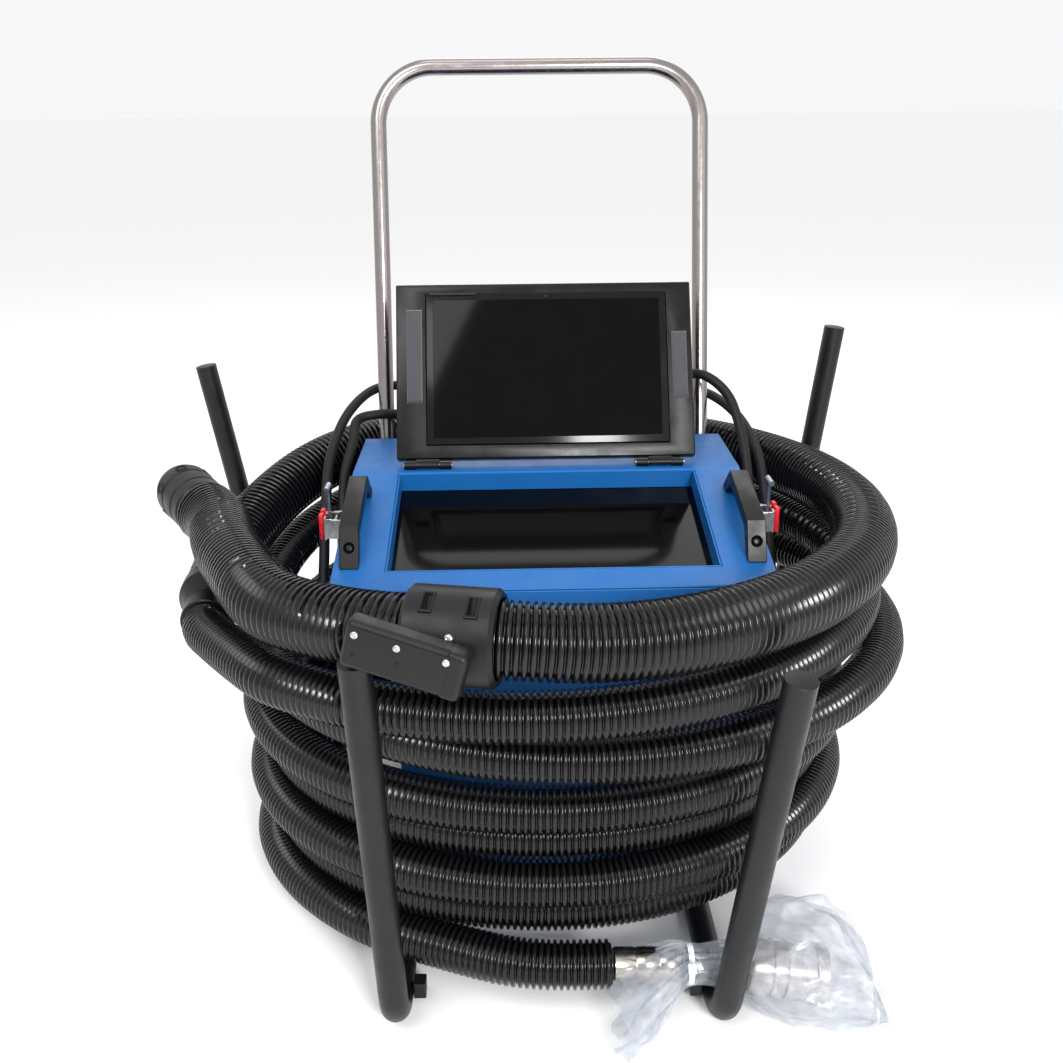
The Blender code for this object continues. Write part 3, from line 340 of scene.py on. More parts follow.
def capped_tube(rings: np.ndarray) -> tuple[np.ndarray, list]:
    """Points and faces of a tube given as rings of points, with a fan of triangles on each end.

    Args:
        rings: Array of rings by sides by three.

    Returns:
        The points, with the two end centres last, and the faces.
    """
    rows, sides = rings.shape[:2]
    points = np.concatenate([rings.reshape(-1, 3), [rings[0].mean(0), rings[-1].mean(0)]])
    side = np.arange(sides)
    after = (side + 1) % sides
    first, last = rows * sides, rows * sides + 1
    rim = (rows - 1) * sides
    start = np.stack([np.full(sides, first), after, side], axis=1)
    end = np.stack([np.full(sides, last), rim + side, rim + after], axis=1)
    return points, rows_of(grid_faces(rows, sides, True)) + rows_of(start) + rows_of(end)


def lengths_along(path: np.ndarray) -> np.ndarray:
    """The distance of each point of the path from its start."""
    return np.concatenate([[0.0], np.cumsum(np.linalg.norm(np.diff(path, axis=0), axis=1))])


def at_lengths(path: np.ndarray, where: np.ndarray) -> np.ndarray:
    """The points of the path at these distances from its start, by straight interpolation."""
    along = lengths_along(path)
    return np.stack([np.interp(where, along, path[:, k]) for k in range(3)], axis=1)


def smooth_path(points: np.ndarray, spacing: float = 0.004) -> np.ndarray:
    """The Catmull-Rom curve through the points, sampled evenly.

    Each span is 0.5 (2b + (c-a)t + (2a-5b+4c-d)t^2 + (3b-a-3c+d)t^3), with a mirrored point past
    each end.
    """
    points = np.asarray(points, float)
    points = np.concatenate([[2 * points[0] - points[1]], points, [2 * points[-1] - points[-2]]])
    a, b, c, d = (points[k : len(points) - 3 + k, None, :] for k in range(4))
    t = (np.arange(24) / 24)[None, :, None]
    fine = 0.5 * (2 * b + (c - a) * t + (2 * a - 5 * b + 4 * c - d) * t**2
                  + (3 * b - a - 3 * c + d) * t**3)
    fine = np.concatenate([fine.reshape(-1, 3), points[-2:-1]])
    total = lengths_along(fine)[-1]
    return at_lengths(fine, np.linspace(0, total, max(8, round(total / spacing))))


def spread_evenly(path: np.ndarray, count: int) -> np.ndarray:
    """This many points of the path, evenly apart, with both of its ends."""
    return at_lengths(path, np.linspace(0, lengths_along(path)[-1], count))


def relaxed(path: np.ndarray, reach: int) -> np.ndarray:
    """The path averaged over a Hann window of this many points to each side, with its ends held."""
    weights = np.hanning(2 * reach + 3)[1:-1]
    ahead = 2 * path[-1] - path[-2 : -reach - 2 : -1]
    behind = 2 * path[0] - path[reach:0:-1]
    held = np.concatenate([behind, path, ahead])
    weights /= weights.sum()
    return np.stack([np.convolve(held[:, k], weights, mode="valid") for k in range(3)], axis=1)


def frames_along(path: np.ndarray, reference: np.ndarray) -> tuple[np.ndarray, np.ndarray]:
    """Two unit vectors across the path at each point, the first of them level.

    The level one is the reference crossed with the tangent, and the other is the tangent
    crossed with that.
    """
    tangent = unit(np.gradient(path, axis=0))
    level = unit(np.cross(reference, tangent))
    return level, np.cross(tangent, level)


def sweep(path: np.ndarray, radii: np.ndarray, sides: int,
          reference: np.ndarray = UP) -> np.ndarray:
    """Rings of points round a path: centre + r (level cos v + rising sin v)."""
    level, rising = frames_along(path, reference)
    v = np.linspace(0, 2 * math.pi, sides, endpoint=False)
    ring = level[:, None] * np.cos(v)[None, :, None] + rising[:, None] * np.sin(v)[None, :, None]
    return path[:, None] + ring * np.asarray(radii)[:, None, None]


def turned(name: str, profile: list | np.ndarray, start: np.ndarray, towards: np.ndarray, finish: Finish,
           sides: int = 64, sharp: float = 38.0) -> bpy.types.Object:
    """A turned piece: the profile (distance along, radius) carried round the line from start.

    A profile that starts and ends on the line is closed by it; any other one is closed on itself.
    """
    direction = unit(np.asarray(towards, float))
    level = unit(np.cross(UP if abs(direction[2]) < 0.9 else ACROSS, direction))
    rising = np.cross(direction, level)
    along, radius = np.array(profile, float).T
    hollow = radius[0] > 0 and radius[-1] > 0
    if hollow:
        along, radius = np.append(along, along[0]), np.append(radius, radius[0])
    v = np.linspace(0, 2 * math.pi, sides, endpoint=False)
    ring = level * np.cos(v)[:, None] + rising * np.sin(v)[:, None]
    points = np.asarray(start) + direction * along[:, None, None]
    points = points + ring[None] * radius[:, None, None]
    if not hollow:
        cloud, faces = capped_tube(points[1:-1])
        cloud[-2], cloud[-1] = points[0, 0], points[-1, 0]
        return mesh_object(name, cloud, faces, finish, sharp=sharp)
    rows = len(along) - 1
    cells = grid_faces(rows + 1, sides, True) % (rows * sides)
    return mesh_object(name, points[:-1].reshape(-1, 3), rows_of(cells), finish, sharp=sharp)


def rounded_box(name: str, centre: np.ndarray, half: tuple, axes: np.ndarray, radius: float,
                finish: Finish) -> bpy.types.Object:
    """A box with rounded edges.

    Each point of a unit sphere, n, goes to sign(n) (half - radius) + radius n, on the box's axes.
    """
    u = np.concatenate([np.linspace(0, math.pi / 2, 9), np.linspace(math.pi / 2, math.pi, 9)])
    v = np.concatenate([np.linspace(k, k + 1, 9) for k in range(4)]) * math.pi / 2
    signs_v = np.repeat([[1, 1], [-1, 1], [-1, -1], [1, -1]], 9, axis=0)
    signs_u = np.repeat([1, -1], 9)
    grid = (len(u), len(v))
    n = np.stack([np.sin(u)[:, None] * np.cos(v), np.sin(u)[:, None] * np.sin(v),
                  np.broadcast_to(np.cos(u)[:, None], grid)], axis=2)
    corner = np.stack([np.broadcast_to(signs_v[:, 0], grid), np.broadcast_to(signs_v[:, 1], grid),
                       np.broadcast_to(signs_u[:, None], grid)], axis=2)
    local = corner * (np.array(half) - radius) + radius * n
    points, faces = capped_tube(np.asarray(centre) + local @ np.asarray(axes))
    made = mesh_object(name, points, faces, finish, smooth=False)
    edit = bmesh.new()
    edit.from_mesh(made.data)
    bmesh.ops.remove_doubles(edit, verts=edit.verts, dist=1e-6)
    bmesh.ops.recalc_face_normals(edit, faces=edit.faces)
    edit.to_mesh(made.data)
    edit.free()
    made.data.shade_smooth()
    made.data.set_sharp_from_angle(angle=math.radians(35))
    return made


def join(name: str, pieces: list) -> bpy.types.Object:
    """Several mesh objects made into one, which keeps their materials."""
    mesh = bpy.data.meshes.new(name)
    edit = bmesh.new()
    slots: list = []
    for piece in pieces:
        first = len(edit.faces)
        edit.from_mesh(piece.data)
        edit.faces.ensure_lookup_table()
        finish = piece.data.materials[0]
        if finish not in slots:
            slots.append(finish)
        for face in edit.faces[first:]:
            face.material_index = slots.index(finish)
        bpy.data.objects.remove(piece, do_unlink=True)
    edit.to_mesh(mesh)
    edit.free()
    for finish in slots:
        mesh.materials.append(finish)
    made = bpy.data.objects.new(name, mesh)
    bpy.context.scene.collection.objects.link(made)
    mesh.set_sharp_from_angle(angle=math.radians(38))
    return made


def dress(piece: bpy.types.Object, body: str, slot: str, *nodes: str) -> bpy.types.Object:
    """Lets a piece ride on a body and stand for CAD nodes, if any.

    Args:
        piece: The piece.
        body: The body that it rides on.
        slot: The record's material slot; not used.
        nodes: The CAD nodes that it replaces.

    Returns:
        The same piece.
    """
    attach(piece, body)
    if nodes:
        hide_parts(*nodes)
    return piece


def eased(node: str, width: float, finish: Finish, body: str, slot: str,
          sharp: float = 30.0) -> bpy.types.Object:
    """A copy of a CAD node with merged faces and rounded edges, which stands for the node.

    Args:
        node: The CAD node's name.
        width: The radius of its edges in metres; 0 leaves them sharp.
        finish: What it is made of.
        body: The body that it rides on.
        slot: The record's material slot.
        sharp: Edges sharper than this many degrees are rounded.

    Returns:
        The new piece.
    """
    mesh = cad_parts[node].data.copy()
    mesh.name = f"{node}_eased"
    edit = bmesh.new()
    edit.from_mesh(mesh)
    bmesh.ops.remove_doubles(edit, verts=edit.verts, dist=1e-6)
    bmesh.ops.dissolve_limit(edit, angle_limit=math.radians(1.0), verts=edit.verts,
                             edges=edit.edges)
    edit.to_mesh(mesh)
    edit.free()
    made = bpy.data.objects.new(f"{node}_eased", mesh)
    bpy.context.scene.collection.objects.link(made)
    mesh.materials.clear()
    mesh.materials.append(finish.material())
    mesh.polygons.foreach_set("material_index", np.zeros(len(mesh.polygons), np.int32))
    mesh.shade_smooth()
    mesh.set_sharp_from_angle(angle=math.radians(sharp))
    if width:
        step = made.modifiers.new("edges", "BEVEL")
        step.width = width
        step.segments = 3
        step.limit_method = "ANGLE"
        step.angle_limit = math.radians(sharp)
        step.harden_normals = True
    return dress(made, body, slot, node)


def screw_head(name: str, centre: np.ndarray, out: np.ndarray, radius: float,
               finish: Finish = ZINC) -> bpy.types.Object:
    """A button-head screw: a domed profile with a round pit for its socket."""
    profile = radius * np.array([(-0.2, 0.0), (-0.2, 1.0), (0.18, 1.0), (0.45, 0.86), (0.58, 0.6),
                                 (0.60, 0.46), (0.25, 0.40), (0.25, 0.0)])
    return turned(name, profile, centre, out, finish, sides=20)


# ---- Hoses and cables ---------------------------------------------------------------------------


@dataclass
class Corrugation:
    """Parallel ribs of a blow-moulded hose: flat crests, narrower grooves."""

    diameter: float
    pitch: float
    depth: float
    sides: int = 20

    def rings(self, path: np.ndarray) -> np.ndarray:
        """Rings of the ribbed wall, four to a rib: two on the crest and two in the groove."""
        total = lengths_along(path)[-1]
        ribs = max(2, round(total / self.pitch))
        start = np.arange(ribs)[:, None] * total / ribs
        where = (start + np.array([0.06, 0.44, 0.62, 0.90]) * total / ribs).ravel()
        crest, groove = self.diameter / 2, self.diameter / 2 - self.depth
        radii = np.tile([crest, crest, groove, groove], ribs)
        return sweep(at_lengths(path, where), radii, self.sides)


@dataclass
class Hoses:
    """The wide upper hose, the thin hose coiled under it, and the run out to the camera head."""

    wide: Corrugation = field(default_factory=lambda: Corrugation(0.060, 0.0060, 0.0038, 24))
    thin: Corrugation = field(default_factory=lambda: Corrugation(0.042, 0.0057, 0.0032, 16))
    ring_centre: tuple[float, float] = (-0.013, -0.007)
    ring_radii: tuple[float, float] = (0.313, 0.285)
    ring_height: float = 0.374
    tail_from: float = 486.0
    tail_to: float = 548.0
    tail_fall: float = 0.064
    lead: tuple[float, float] = (0.050, 0.066)
    seam_angle: float = 150.0
    blend: float = 46.0
    second_from: float = 78.0
    second_to: float = 316.0
    run_from: float = 2258.0
    run_height: float = 0.0463
    run_y: float = -0.262
    start_of_run: float = 0.045

    def turns(self) -> np.ndarray:
        """Centre x, radius x, radius y, height and seam sag of each turn, from the top down."""
        stack = [(-0.004, 0.287, 0.2485, 0.1987), (-0.004, 0.268, 0.231, 0.1606),
                 (-0.004, 0.287, 0.2485, 0.1225), (-0.004, 0.268, 0.231, 0.0844),
                 (-0.004, 0.287, 0.2485, 0.0463)]
        sag = (0.0, 0.0, -0.0016, -0.0062, -0.0108, -0.0154, 0.0)
        rows = [(-0.024, 0.326, 0.294, 0.316), (0.024, 0.306, 0.275, 0.266), *stack]
        return np.array([(*row, s) for row, s in zip(rows, sag)])

    def spiral(self, first: float, last: float) -> np.ndarray:
        """The thin hose from one angle to another, in degrees counted on from the first seam.

        On turn n the hose follows an ellipse of that turn's centre, radii and height. Round the
        seam angle they ease into the next turn's with 3s^2 - 2s^3, and 4s(1-s) times the turn's
        sag makes room where the turns cross from wide to narrow.
        """
        angle = np.radians(np.arange(first, last + 0.01, 0.75))
        turn = np.degrees(angle) / 360.0
        index = np.floor(turn + 0.5).astype(int)
        part = (turn + 0.5 - index) * 360.0 - 180.0
        share = np.clip(part / (2 * self.blend) + 0.5, 0, 1)
        share = share * share * (3 - 2 * share)
        rows = self.turns()
        before = rows[np.clip(index - 1, 0, len(rows) - 1)]
        after = rows[np.clip(index, 0, len(rows) - 1)]
        now = before + (after - before) * share[:, None]
        sag = before[:, 4] * 4 * share * (1 - share)
        where = angle + math.radians(self.seam_angle)
        x = now[:, 0] + now[:, 1] * np.cos(where)
        y = now[:, 2] * np.sin(where)
        return np.stack([x, y, now[:, 3] + sag], axis=1) + SHIFT

    def wide_path(self) -> np.ndarray:
        """The upper hose: out of the cuff, round once, and down under its own start to the reducer.

        It follows an ellipse, a little raised at the coupling, and sinks by 64 mm (3s^2 - 2s^3)
        over the last 62 degrees.
        """
        start = np.array([(-0.336, 0.000, 0.379), (-0.314, -0.030, 0.377), (-0.297, -0.085, 0.376),
                          (-0.258, -0.165, 0.375)])
        degrees = np.linspace(226.0, self.tail_to, 38)
        x = self.ring_centre[0] + self.ring_radii[0] * np.cos(np.radians(degrees))
        y = self.ring_centre[1] + self.ring_radii[1] * np.sin(np.radians(degrees))
        down = np.clip((degrees - self.tail_from) / (self.tail_to - self.tail_from), 0, 1)
        down = self.tail_fall * down * down * (3 - 2 * down)
        z = self.ring_height - down + 0.008 * np.exp(-(((x + 0.080) / 0.09) ** 2)) * (y < 0)
        path = smooth_path(np.concatenate([start, np.stack([x, y, z], axis=1)]) + SHIFT)
        return relaxed(path, 11)

    def hose(self, name: str, path: np.ndarray, ribs: Corrugation, nodes: tuple,
             **facts) -> bpy.types.Object:
        points, faces = capped_tube(ribs.rings(path))
        made = mesh_object(name, points, faces, HOSE_BLACK, sharp=75.0)
        # Crest rings get 1 and groove rings 0, so the shader paints the grooves darker: painted shade.
        groove_shade_mask = np.repeat([1.0, 1.0, 0.0, 0.0], ribs.sides)
        crest = made.data.attributes.new("crest", "FLOAT", "POINT")
        ends = [1.0, 0.0]
        crest.data.foreach_set("value", [*np.tile(groove_shade_mask, len(points) // len(groove_shade_mask)), *ends])
        dress(made, CRADLE, "hose_plastic", *nodes)
        return made

    def build(self, on_wide: list, on_head: list) -> None:
        """Makes the hoses.

        Args:
            on_wide: The pieces on the wide hose.
            on_head: The pieces at the end of the run out.
        """
        wide = self.wide_path()
        self.hose("upper_hose_ribbed", wide[::-1], self.wide, ("upper_hose",), far_end="fitting",
                  lay="coiled", with_pieces=on_wide)
        lead = wide[-1] + unit(wide[-1] - wide[-2]) * np.array(self.lead)[:, None]
        second = self.spiral(self.second_from, self.second_to)
        path = relaxed(smooth_path(np.concatenate([lead, spread_evenly(second, 34)])), 9)
        angle = self.second_to
        for name, nodes, turns in (
            ("second_turn_ribbed", ("hose_second_turn",), 0),
            ("third_turn_ribbed", ("hose_third_turn",), 1),
            ("coil_upper_ribbed", ("hose_coil",), 2),
            ("coil_lower_ribbed", (), 2),
        ):
            if turns:
                path = self.spiral(angle, angle + 360.0 * turns)
                angle += 360.0 * turns
            self.hose(name, path, self.thin, nodes, far_end="object", lay="coiled")
        out = [design(x, y, self.run_height)
               for x, y in ((-0.055, -0.2525), (-0.020, -0.260), (0.012, self.run_y),
                            (self.start_of_run, self.run_y))]
        last = self.spiral(angle, self.run_from)
        run = smooth_path(np.concatenate([spread_evenly(last, 14), np.array(out)]))
        self.hose("run_out_ribbed", run, self.thin, ("hose_run_out",), far_end="tool", lay="loose",
                  with_pieces=on_head)


@dataclass
class Cables:
    """Four rubber cables from the console's rear wall to the cabinet's sides, with glands."""

    diameter: float = 0.0105
    gap: float = 0.0010
    rear: float = 0.1450
    wall: float = 0.1450
    console: float = 0.1935

    def routes(self) -> dict[str, list]:
        """The points of each route, in the design's frame."""
        rear, wall = self.rear + self.gap, self.wall + self.gap
        near, far = self.console + 0.0165, self.console + 0.0345
        return {
            "cable_left_outer": [(-0.10, rear, 0.366), (-0.101, rear + 0.020, 0.366), (-0.114, 0.182, 0.402),
                (-0.148, 0.166, 0.426), (0.0115 - near, 0.150, 0.428), (0.006 - near, 0.118, 0.410),
                (-near, 0.080, 0.384), (-near, 0.045, 0.345), (0.002 - near, 0.020, 0.305),
                (-0.196, 0.012, 0.268), (-0.172, 0.018, 0.251), (-wall, 0.020, 0.250)],
            "cable_left_inner": [(-0.07, rear, 0.366), (-0.070, rear + 0.022, 0.366), (-0.084, 0.216, 0.400),
                (-0.130, 0.226, 0.438), (-0.182, 0.214, 0.446), (0.016 - far, 0.165, 0.432),
                (0.002 - far, 0.105, 0.402), (-far, 0.060, 0.365), (0.002 - far, 0.015, 0.325),
                (0.006 - far, -0.025, 0.294), (-0.206, -0.062, 0.262), (-0.176, -0.080, 0.250),
                (-wall, -0.080, 0.249)],
            "cable_right_outer": [(0.10, rear, 0.366), (0.101, rear + 0.020, 0.366), (0.114, 0.186, 0.410),
                (0.140, 0.168, 0.455), (0.168, 0.146, 0.473), (near - 0.014, 0.128, 0.456),
                (near - 0.003, 0.098, 0.424), (near, 0.064, 0.386), (near, 0.036, 0.345),
                (near - 0.002, 0.014, 0.303), (0.196, 0.010, 0.267), (0.172, 0.018, 0.251),
                (wall, 0.020, 0.250)],
            "cable_right_inner": [(0.07, rear, 0.366), (0.070, rear + 0.022, 0.366), (0.084, 0.220, 0.400),
                (0.130, 0.232, 0.430), (0.182, 0.218, 0.436), (far - 0.014, 0.165, 0.424),
                (far, 0.108, 0.398), (far + 0.001, 0.060, 0.362), (far - 0.002, 0.015, 0.322),
                (far - 0.006, -0.025, 0.293), (0.206, -0.062, 0.262), (0.176, -0.080, 0.250),
                (wall, -0.080, 0.249)],
        }

    def gland(self, name: str, start: np.ndarray, out: np.ndarray) -> bpy.types.Object:
        """A cable gland: hexagon, clamping nut and a tapered bend relief."""
        r = self.diameter / 2 + 0.0004
        nut = [(0.0, r), (0.0, 0.0095), (0.004, 0.0098), (0.0045, 0.0088), (0.0055, 0.0088),
               (0.006, 0.0096), (0.014, 0.0096), (0.0165, 0.0084), (0.018, 0.0078),
               (0.034, 0.0066), (0.035, r)]
        return dress(turned(name, nut, start, out, MOULDED_BLACK, 32), CRADLE, "black_plastic")

    def build(self) -> None:
        """Makes the cables and their glands."""
        for name, route in self.routes().items():
            path = smooth_path(np.array(route) + SHIFT)
            radii = np.full(len(path), self.diameter / 2)
            points, faces = capped_tube(sweep(path, radii, 16, np.array([0.05, 0.1, 1.0])))
            made = mesh_object(f"{name}_jacket", points, faces, CABLE_RUBBER)
            dress(made, CRADLE, "black_rubber", name)
            away = ACROSS * math.copysign(1, route[-1][0])
            glands = [
                self.gland(f"{name}_console_gland", path[0] - self.gap * REARWARD,
                           path[3] - path[0]),
                self.gland(f"{name}_cabinet_gland", path[-1], away),
            ]


# ---- Pieces on the hoses ----------------------------------------------------------------------


@dataclass
class WideHoseFittings:
    """End cuff, coupling sleeve with its clasp housing, and the reducer, on the wide hose."""

    hose: Hoses
    coupling_x: float = -0.080
    sleeve_radius: float = 0.0375
    sleeve_half: float = 0.035

    def cuff(self, path: np.ndarray) -> bpy.types.Object:
        """The round plug on the hose's free end, with ring grooves and six side ports."""
        away = unit(path[0] - path[10])
        start = path[0] + away * 0.0003
        r = 0.0285
        deep = r - 0.0012
        profile = [(0.0, 0.0), (0.0, r - 0.002), (0.002, r), (0.016, r), (0.017, deep),
                   (0.019, deep), (0.020, r), (0.040, r), (0.041, deep), (0.043, deep),
                   (0.044, r), (0.059, r), (0.066, r - 0.002), (0.072, r - 0.0065),
                   (0.0765, r - 0.014), (0.078, 0.010), (0.0745, 0.0085), (0.0745, 0.0)]
        body = turned("cuff_body", profile, start, away, MOULDED_BLACK)
        level = unit(np.cross(UP, away))
        rising = np.cross(away, level)
        ports = []
        for k in range(6):
            angle = math.pi * k / 3 + 0.4
            out = level * math.cos(angle) + rising * math.sin(angle)
            ring = [(-0.002, 0.0), (-0.002, 0.0062), (0.0006, 0.0058), (0.0006, 0.0040),
                    (-0.0012, 0.0036), (-0.0012, 0.0)]
            spot = start + away * 0.052 + out * r
            ports.append(turned(f"port_{k}", ring, spot, out, CABLE_RUBBER, 24))
        made = join("end_cuff_detailed", [body, *ports])
        return dress(made, CRADLE, "black_plastic", "end_cuff")

    def reducer(self, path: np.ndarray) -> bpy.types.Object:
        """The stepped cone between the two hose sizes."""
        on = unit(path[-1] - path[-2])
        profile = [(-0.004, 0.0), (-0.004, 0.0315), (0.010, 0.0318), (0.012, 0.0300), (0.030, 0.0226),
                   (0.032, 0.0235), (0.053, 0.0235), (0.054, 0.0225), (0.054, 0.0)]
        made = turned("reducer_detailed", profile, path[-1], on, MOULDED_BLACK)
        return dress(made, CRADLE, "black_plastic", "hose_reducer")

    def sleeve(self) -> list:
        """The split sleeve with its two slots and screws, and the clasp housing outside it."""
        (middle_x, middle_y), (wide, deep) = self.hose.ring_centre, self.hose.ring_radii
        angle = -math.acos((self.coupling_x - middle_x) / wide)
        centre = design(self.coupling_x, middle_y + deep * math.sin(angle), 0.382)
        tangent = unit(np.array([-wide * math.sin(angle), deep * math.cos(angle), 0.0]))
        out = np.cross(tangent, UP)
        r, half = self.sleeve_radius, self.sleeve_half
        profile = [(-half, 0.0312), (-half, r - 0.0032), (-half + 0.0032, r), (half - 0.0032, r),
                   (half, r - 0.0032), (half, 0.0312)]
        body = turned("sleeve_body", profile, centre, tangent, MOULDED_BLACK, 72)
        parts = [body]
        for x, rise in ((-0.016, 66.0), (0.018, 62.0)):
            turn = math.radians(rise)
            normal = out * math.cos(turn) + UP * math.sin(turn)
            across = np.cross(normal, tangent)
            axes = np.array([tangent, across, normal])
            spot = centre + tangent * x + normal * (r - 0.0004)
            parts.append(rounded_box(f"slot_{x}", spot, (0.0050, 0.0100, 0.0010), axes, 0.0009,
                                     MOULDED_BLACK))
            # A thin near-black plate over each slot stands in for the shade inside its opening: painted
            # shade, not a hollow.
            parts.append(rounded_box(f"slot_painted_shade_{x}", spot + normal * 0.0004,
                                     (0.0036, 0.0085, 0.0009), axes, 0.0008, SCREEN))
        low = out * math.cos(math.radians(24)) + UP * math.sin(math.radians(24))
        parts.append(screw_head("sleeve_screw", centre + tangent * 0.004 + low * r, low, 0.0036))
        sleeve = join("coupling_sleeve_detailed", parts)
        dress(sleeve, CRADLE, "black_plastic", "coupling_sleeve")

        tilt = math.radians(15)
        right = tangent * math.cos(tilt) - UP * math.sin(tilt)
        up = tangent * math.sin(tilt) + UP * math.cos(tilt)
        middle = centre + tangent * -0.024 + UP * 0.006 + out * (r + 0.0098)
        axes = np.array([right, up, -out])
        parts = [
            rounded_box(name, middle + place, half, axes, radius, MOULDED_BLACK)
            for name, place, half, radius in (
                ("clasp_shell", out * 0.0, (0.045, 0.0190, 0.0095), 0.0050),
                ("clasp_plate", out * 0.0088, (0.0400, 0.0150, 0.0016), 0.0008),
                ("clasp_end", right * 0.0365, (0.0080, 0.0192, 0.0108), 0.0045),
            )
        ]
        for a, b, radius, finish in (
            (-0.006, 0.010, 0.0030, ZINC), (0.030, 0.011, 0.0030, ZINC),
            (-0.037, 0.010, 0.0030, ZINC), (-0.003, -0.003, 0.0016, CABLE_RUBBER),
            (-0.036, -0.006, 0.0016, CABLE_RUBBER),
        ):
            spot = middle + right * a + up * b + out * 0.0104
            parts.append(screw_head(f"clasp_screw_{a}", spot, out, radius, finish))
        clasp = join("clasp_housing_detailed", parts)
        return [sleeve, dress(clasp, CRADLE, "black_plastic", "clasp_housing")]

    def build(self) -> list:
        """Makes the four pieces."""
        path = self.hose.wide_path()
        return [self.cuff(path), self.reducer(path), *self.sleeve()]


@dataclass
class CameraHead:
    """Clamp sleeve, ribbed boot, camera body, lens with its lamps, tie and bag."""

    run_y: float = -0.262
    run_height: float = 0.0463
    neck_fall: float = 0.028
    start_x: float = 0.045
    head_x: float = 0.1555
    fall: float = 0.150
    turn: float = 0.040
    radius: float = 0.0265
    length: float = 0.076
    lamps: int = 8
    bag_clearance: float = 0.0012
    rod_diameter: float = 0.015

    def neck(self, x: float) -> np.ndarray:
        """A point on the line of the sleeve and the boot."""
        return design(x, self.run_y, self.run_height - self.neck_fall * (x - self.start_x))

    def metalwork(self) -> list:
        """The sleeve, the boot, the body with its grooves and bezel, and the lens with lamps."""
        along = self.neck(1.0) - self.neck(0.0)
        sleeve = turned("hose_end_sleeve_turned",
                        [(0.0, 0.0), (0.0, 0.0132), (0.0015, 0.0145), (0.018, 0.0145), (0.019, 0.0138),
                         (0.021, 0.0138), (0.022, 0.0145), (0.038, 0.0145), (0.039, 0.0138), (0.041, 0.0138),
                         (0.042, 0.0145), (0.0565, 0.0145), (0.060, 0.0118), (0.060, 0.0)],
                        self.neck(self.start_x + 0.0006), along, TURNED_STEEL)
        dress(sleeve, CRADLE, "bright_steel", "hose_end_sleeve")
        profile = [(0.0, 0.0), (0.0, 0.0116)]
        for k in range(5):
            start = 0.002 + k * 0.0082
            profile += [(start, 0.0116), (start + 0.0009, 0.0134), (start + 0.0020, 0.0138),
                        (start + 0.0050, 0.0138), (start + 0.0060, 0.0134), (start + 0.0068, 0.0116)]
        profile += [(0.0450, 0.0118), (0.0450, 0.0)]
        boot = turned("ribbed_boot_detailed", profile, self.neck(self.start_x + 0.0613), along,
                      CABLE_RUBBER)
        dress(boot, CRADLE, "black_rubber", "ribbed_boot")
        start = self.neck(self.head_x)
        ahead = unit(np.array([1.0, -self.turn, -self.fall]))
        r, length = self.radius, self.length
        barrel, groove, floor = r - 0.0016, r - 0.0034, length - 0.006
        profile = [(0.0, 0.0), (0.0, r - 0.010), (0.007, r - 0.0030), (0.010, r - 0.0018),
                   (0.024, barrel), (0.0246, groove), (0.0270, groove), (0.0276, barrel),
                   (0.0364, barrel), (0.0370, groove), (0.0394, groove), (0.0400, barrel),
                   (0.0640, barrel), (0.0652, r - 0.0004), (0.0662, r), (length - 0.001, r),
                   (length, r - 0.001), (length, r - 0.004), (floor, r - 0.0042), (floor, 0.0)]
        body = turned("camera_body_turned", profile, start, ahead, TURNED_STEEL, 96)
        dress(body, CRADLE, "bright_steel", "camera_body")
        face = start + ahead * (floor + 0.0003)
        glass = turned("lens_window", [(0.0, 0.0), (0.0, r - 0.0046), (0.0028, r - 0.0046),
                                       (0.0040, r - 0.0062), (0.0044, r - 0.010), (0.0044, 0.0)],
                       face, ahead, SCREEN)
        level = unit(np.cross(UP, ahead))
        rising = np.cross(ahead, level)
        pieces = [glass]
        dot = [(0.0, 0.0), (0.0, 0.0022), (0.0008, 0.0020), (0.0012, 0.0)]
        for k in range(self.lamps):
            angle = 2 * math.pi * k / self.lamps
            out = level * math.cos(angle) + rising * math.sin(angle)
            spot = face + ahead * 0.0040 + out * 0.0145
            pieces.append(turned(f"lamp_{k}", dot, spot, ahead, LAMP, 20))
        ring = [(0.0, 0.0060), (0.0, 0.0082), (0.0012, 0.0080), (0.0012, 0.0062)]
        pieces.append(turned("lens_ring", ring, face + ahead * 0.0042, ahead, TURNED_STEEL, 40))
        lens = join("camera_lens_detailed", pieces)
        return [sleeve, boot, body, dress(lens, CRADLE, "screen_glass", "camera_lens")]

    def tie(self) -> bpy.types.Object:
        """The nylon tie round the bag's neck, with its lock and the strap's loose tail."""
        along = self.neck(1.0) - self.neck(0.0)
        centre = self.neck(0.113)
        band = turned("tie_band", [(-0.0024, 0.0159), (-0.0024, 0.0174), (0.0024, 0.0174),
                                   (0.0024, 0.0159)], centre, along, WHITE_NYLON, 48)
        front = np.array([0.0, -0.86, 0.51])
        lock = rounded_box("tie_lock", centre + front * 0.0185, (0.0036, 0.0042, 0.0030),
                           np.array([ACROSS, np.cross(front, ACROSS), front]), 0.0008,
                           WHITE_NYLON)
        s = np.linspace(0, 1, 24)
        tail_path = centre + np.stack([0.004 * s, -0.0165 - 0.006 * s - 0.010 * s**2,
                                       0.0095 + 0.034 * s - 0.020 * s**2], axis=1)
        level, _ = frames_along(tail_path, ACROSS)
        wide = unit(np.cross(level, np.gradient(tail_path, axis=0)))
        corners = [(-1, -1), (1, -1), (1, 1), (-1, 1)]
        rings = np.stack([tail_path + wide * 0.0022 * a + level * 0.0006 * b
                          for a, b in corners], axis=1)
        points, faces = capped_tube(rings)
        tail = mesh_object("tie_tail", points, faces, WHITE_NYLON, sharp=30)
        made = join("cable_tie_detailed", [band, lock, tail])
        return dress(made, CRADLE, "white_nylon", "cable_tie")

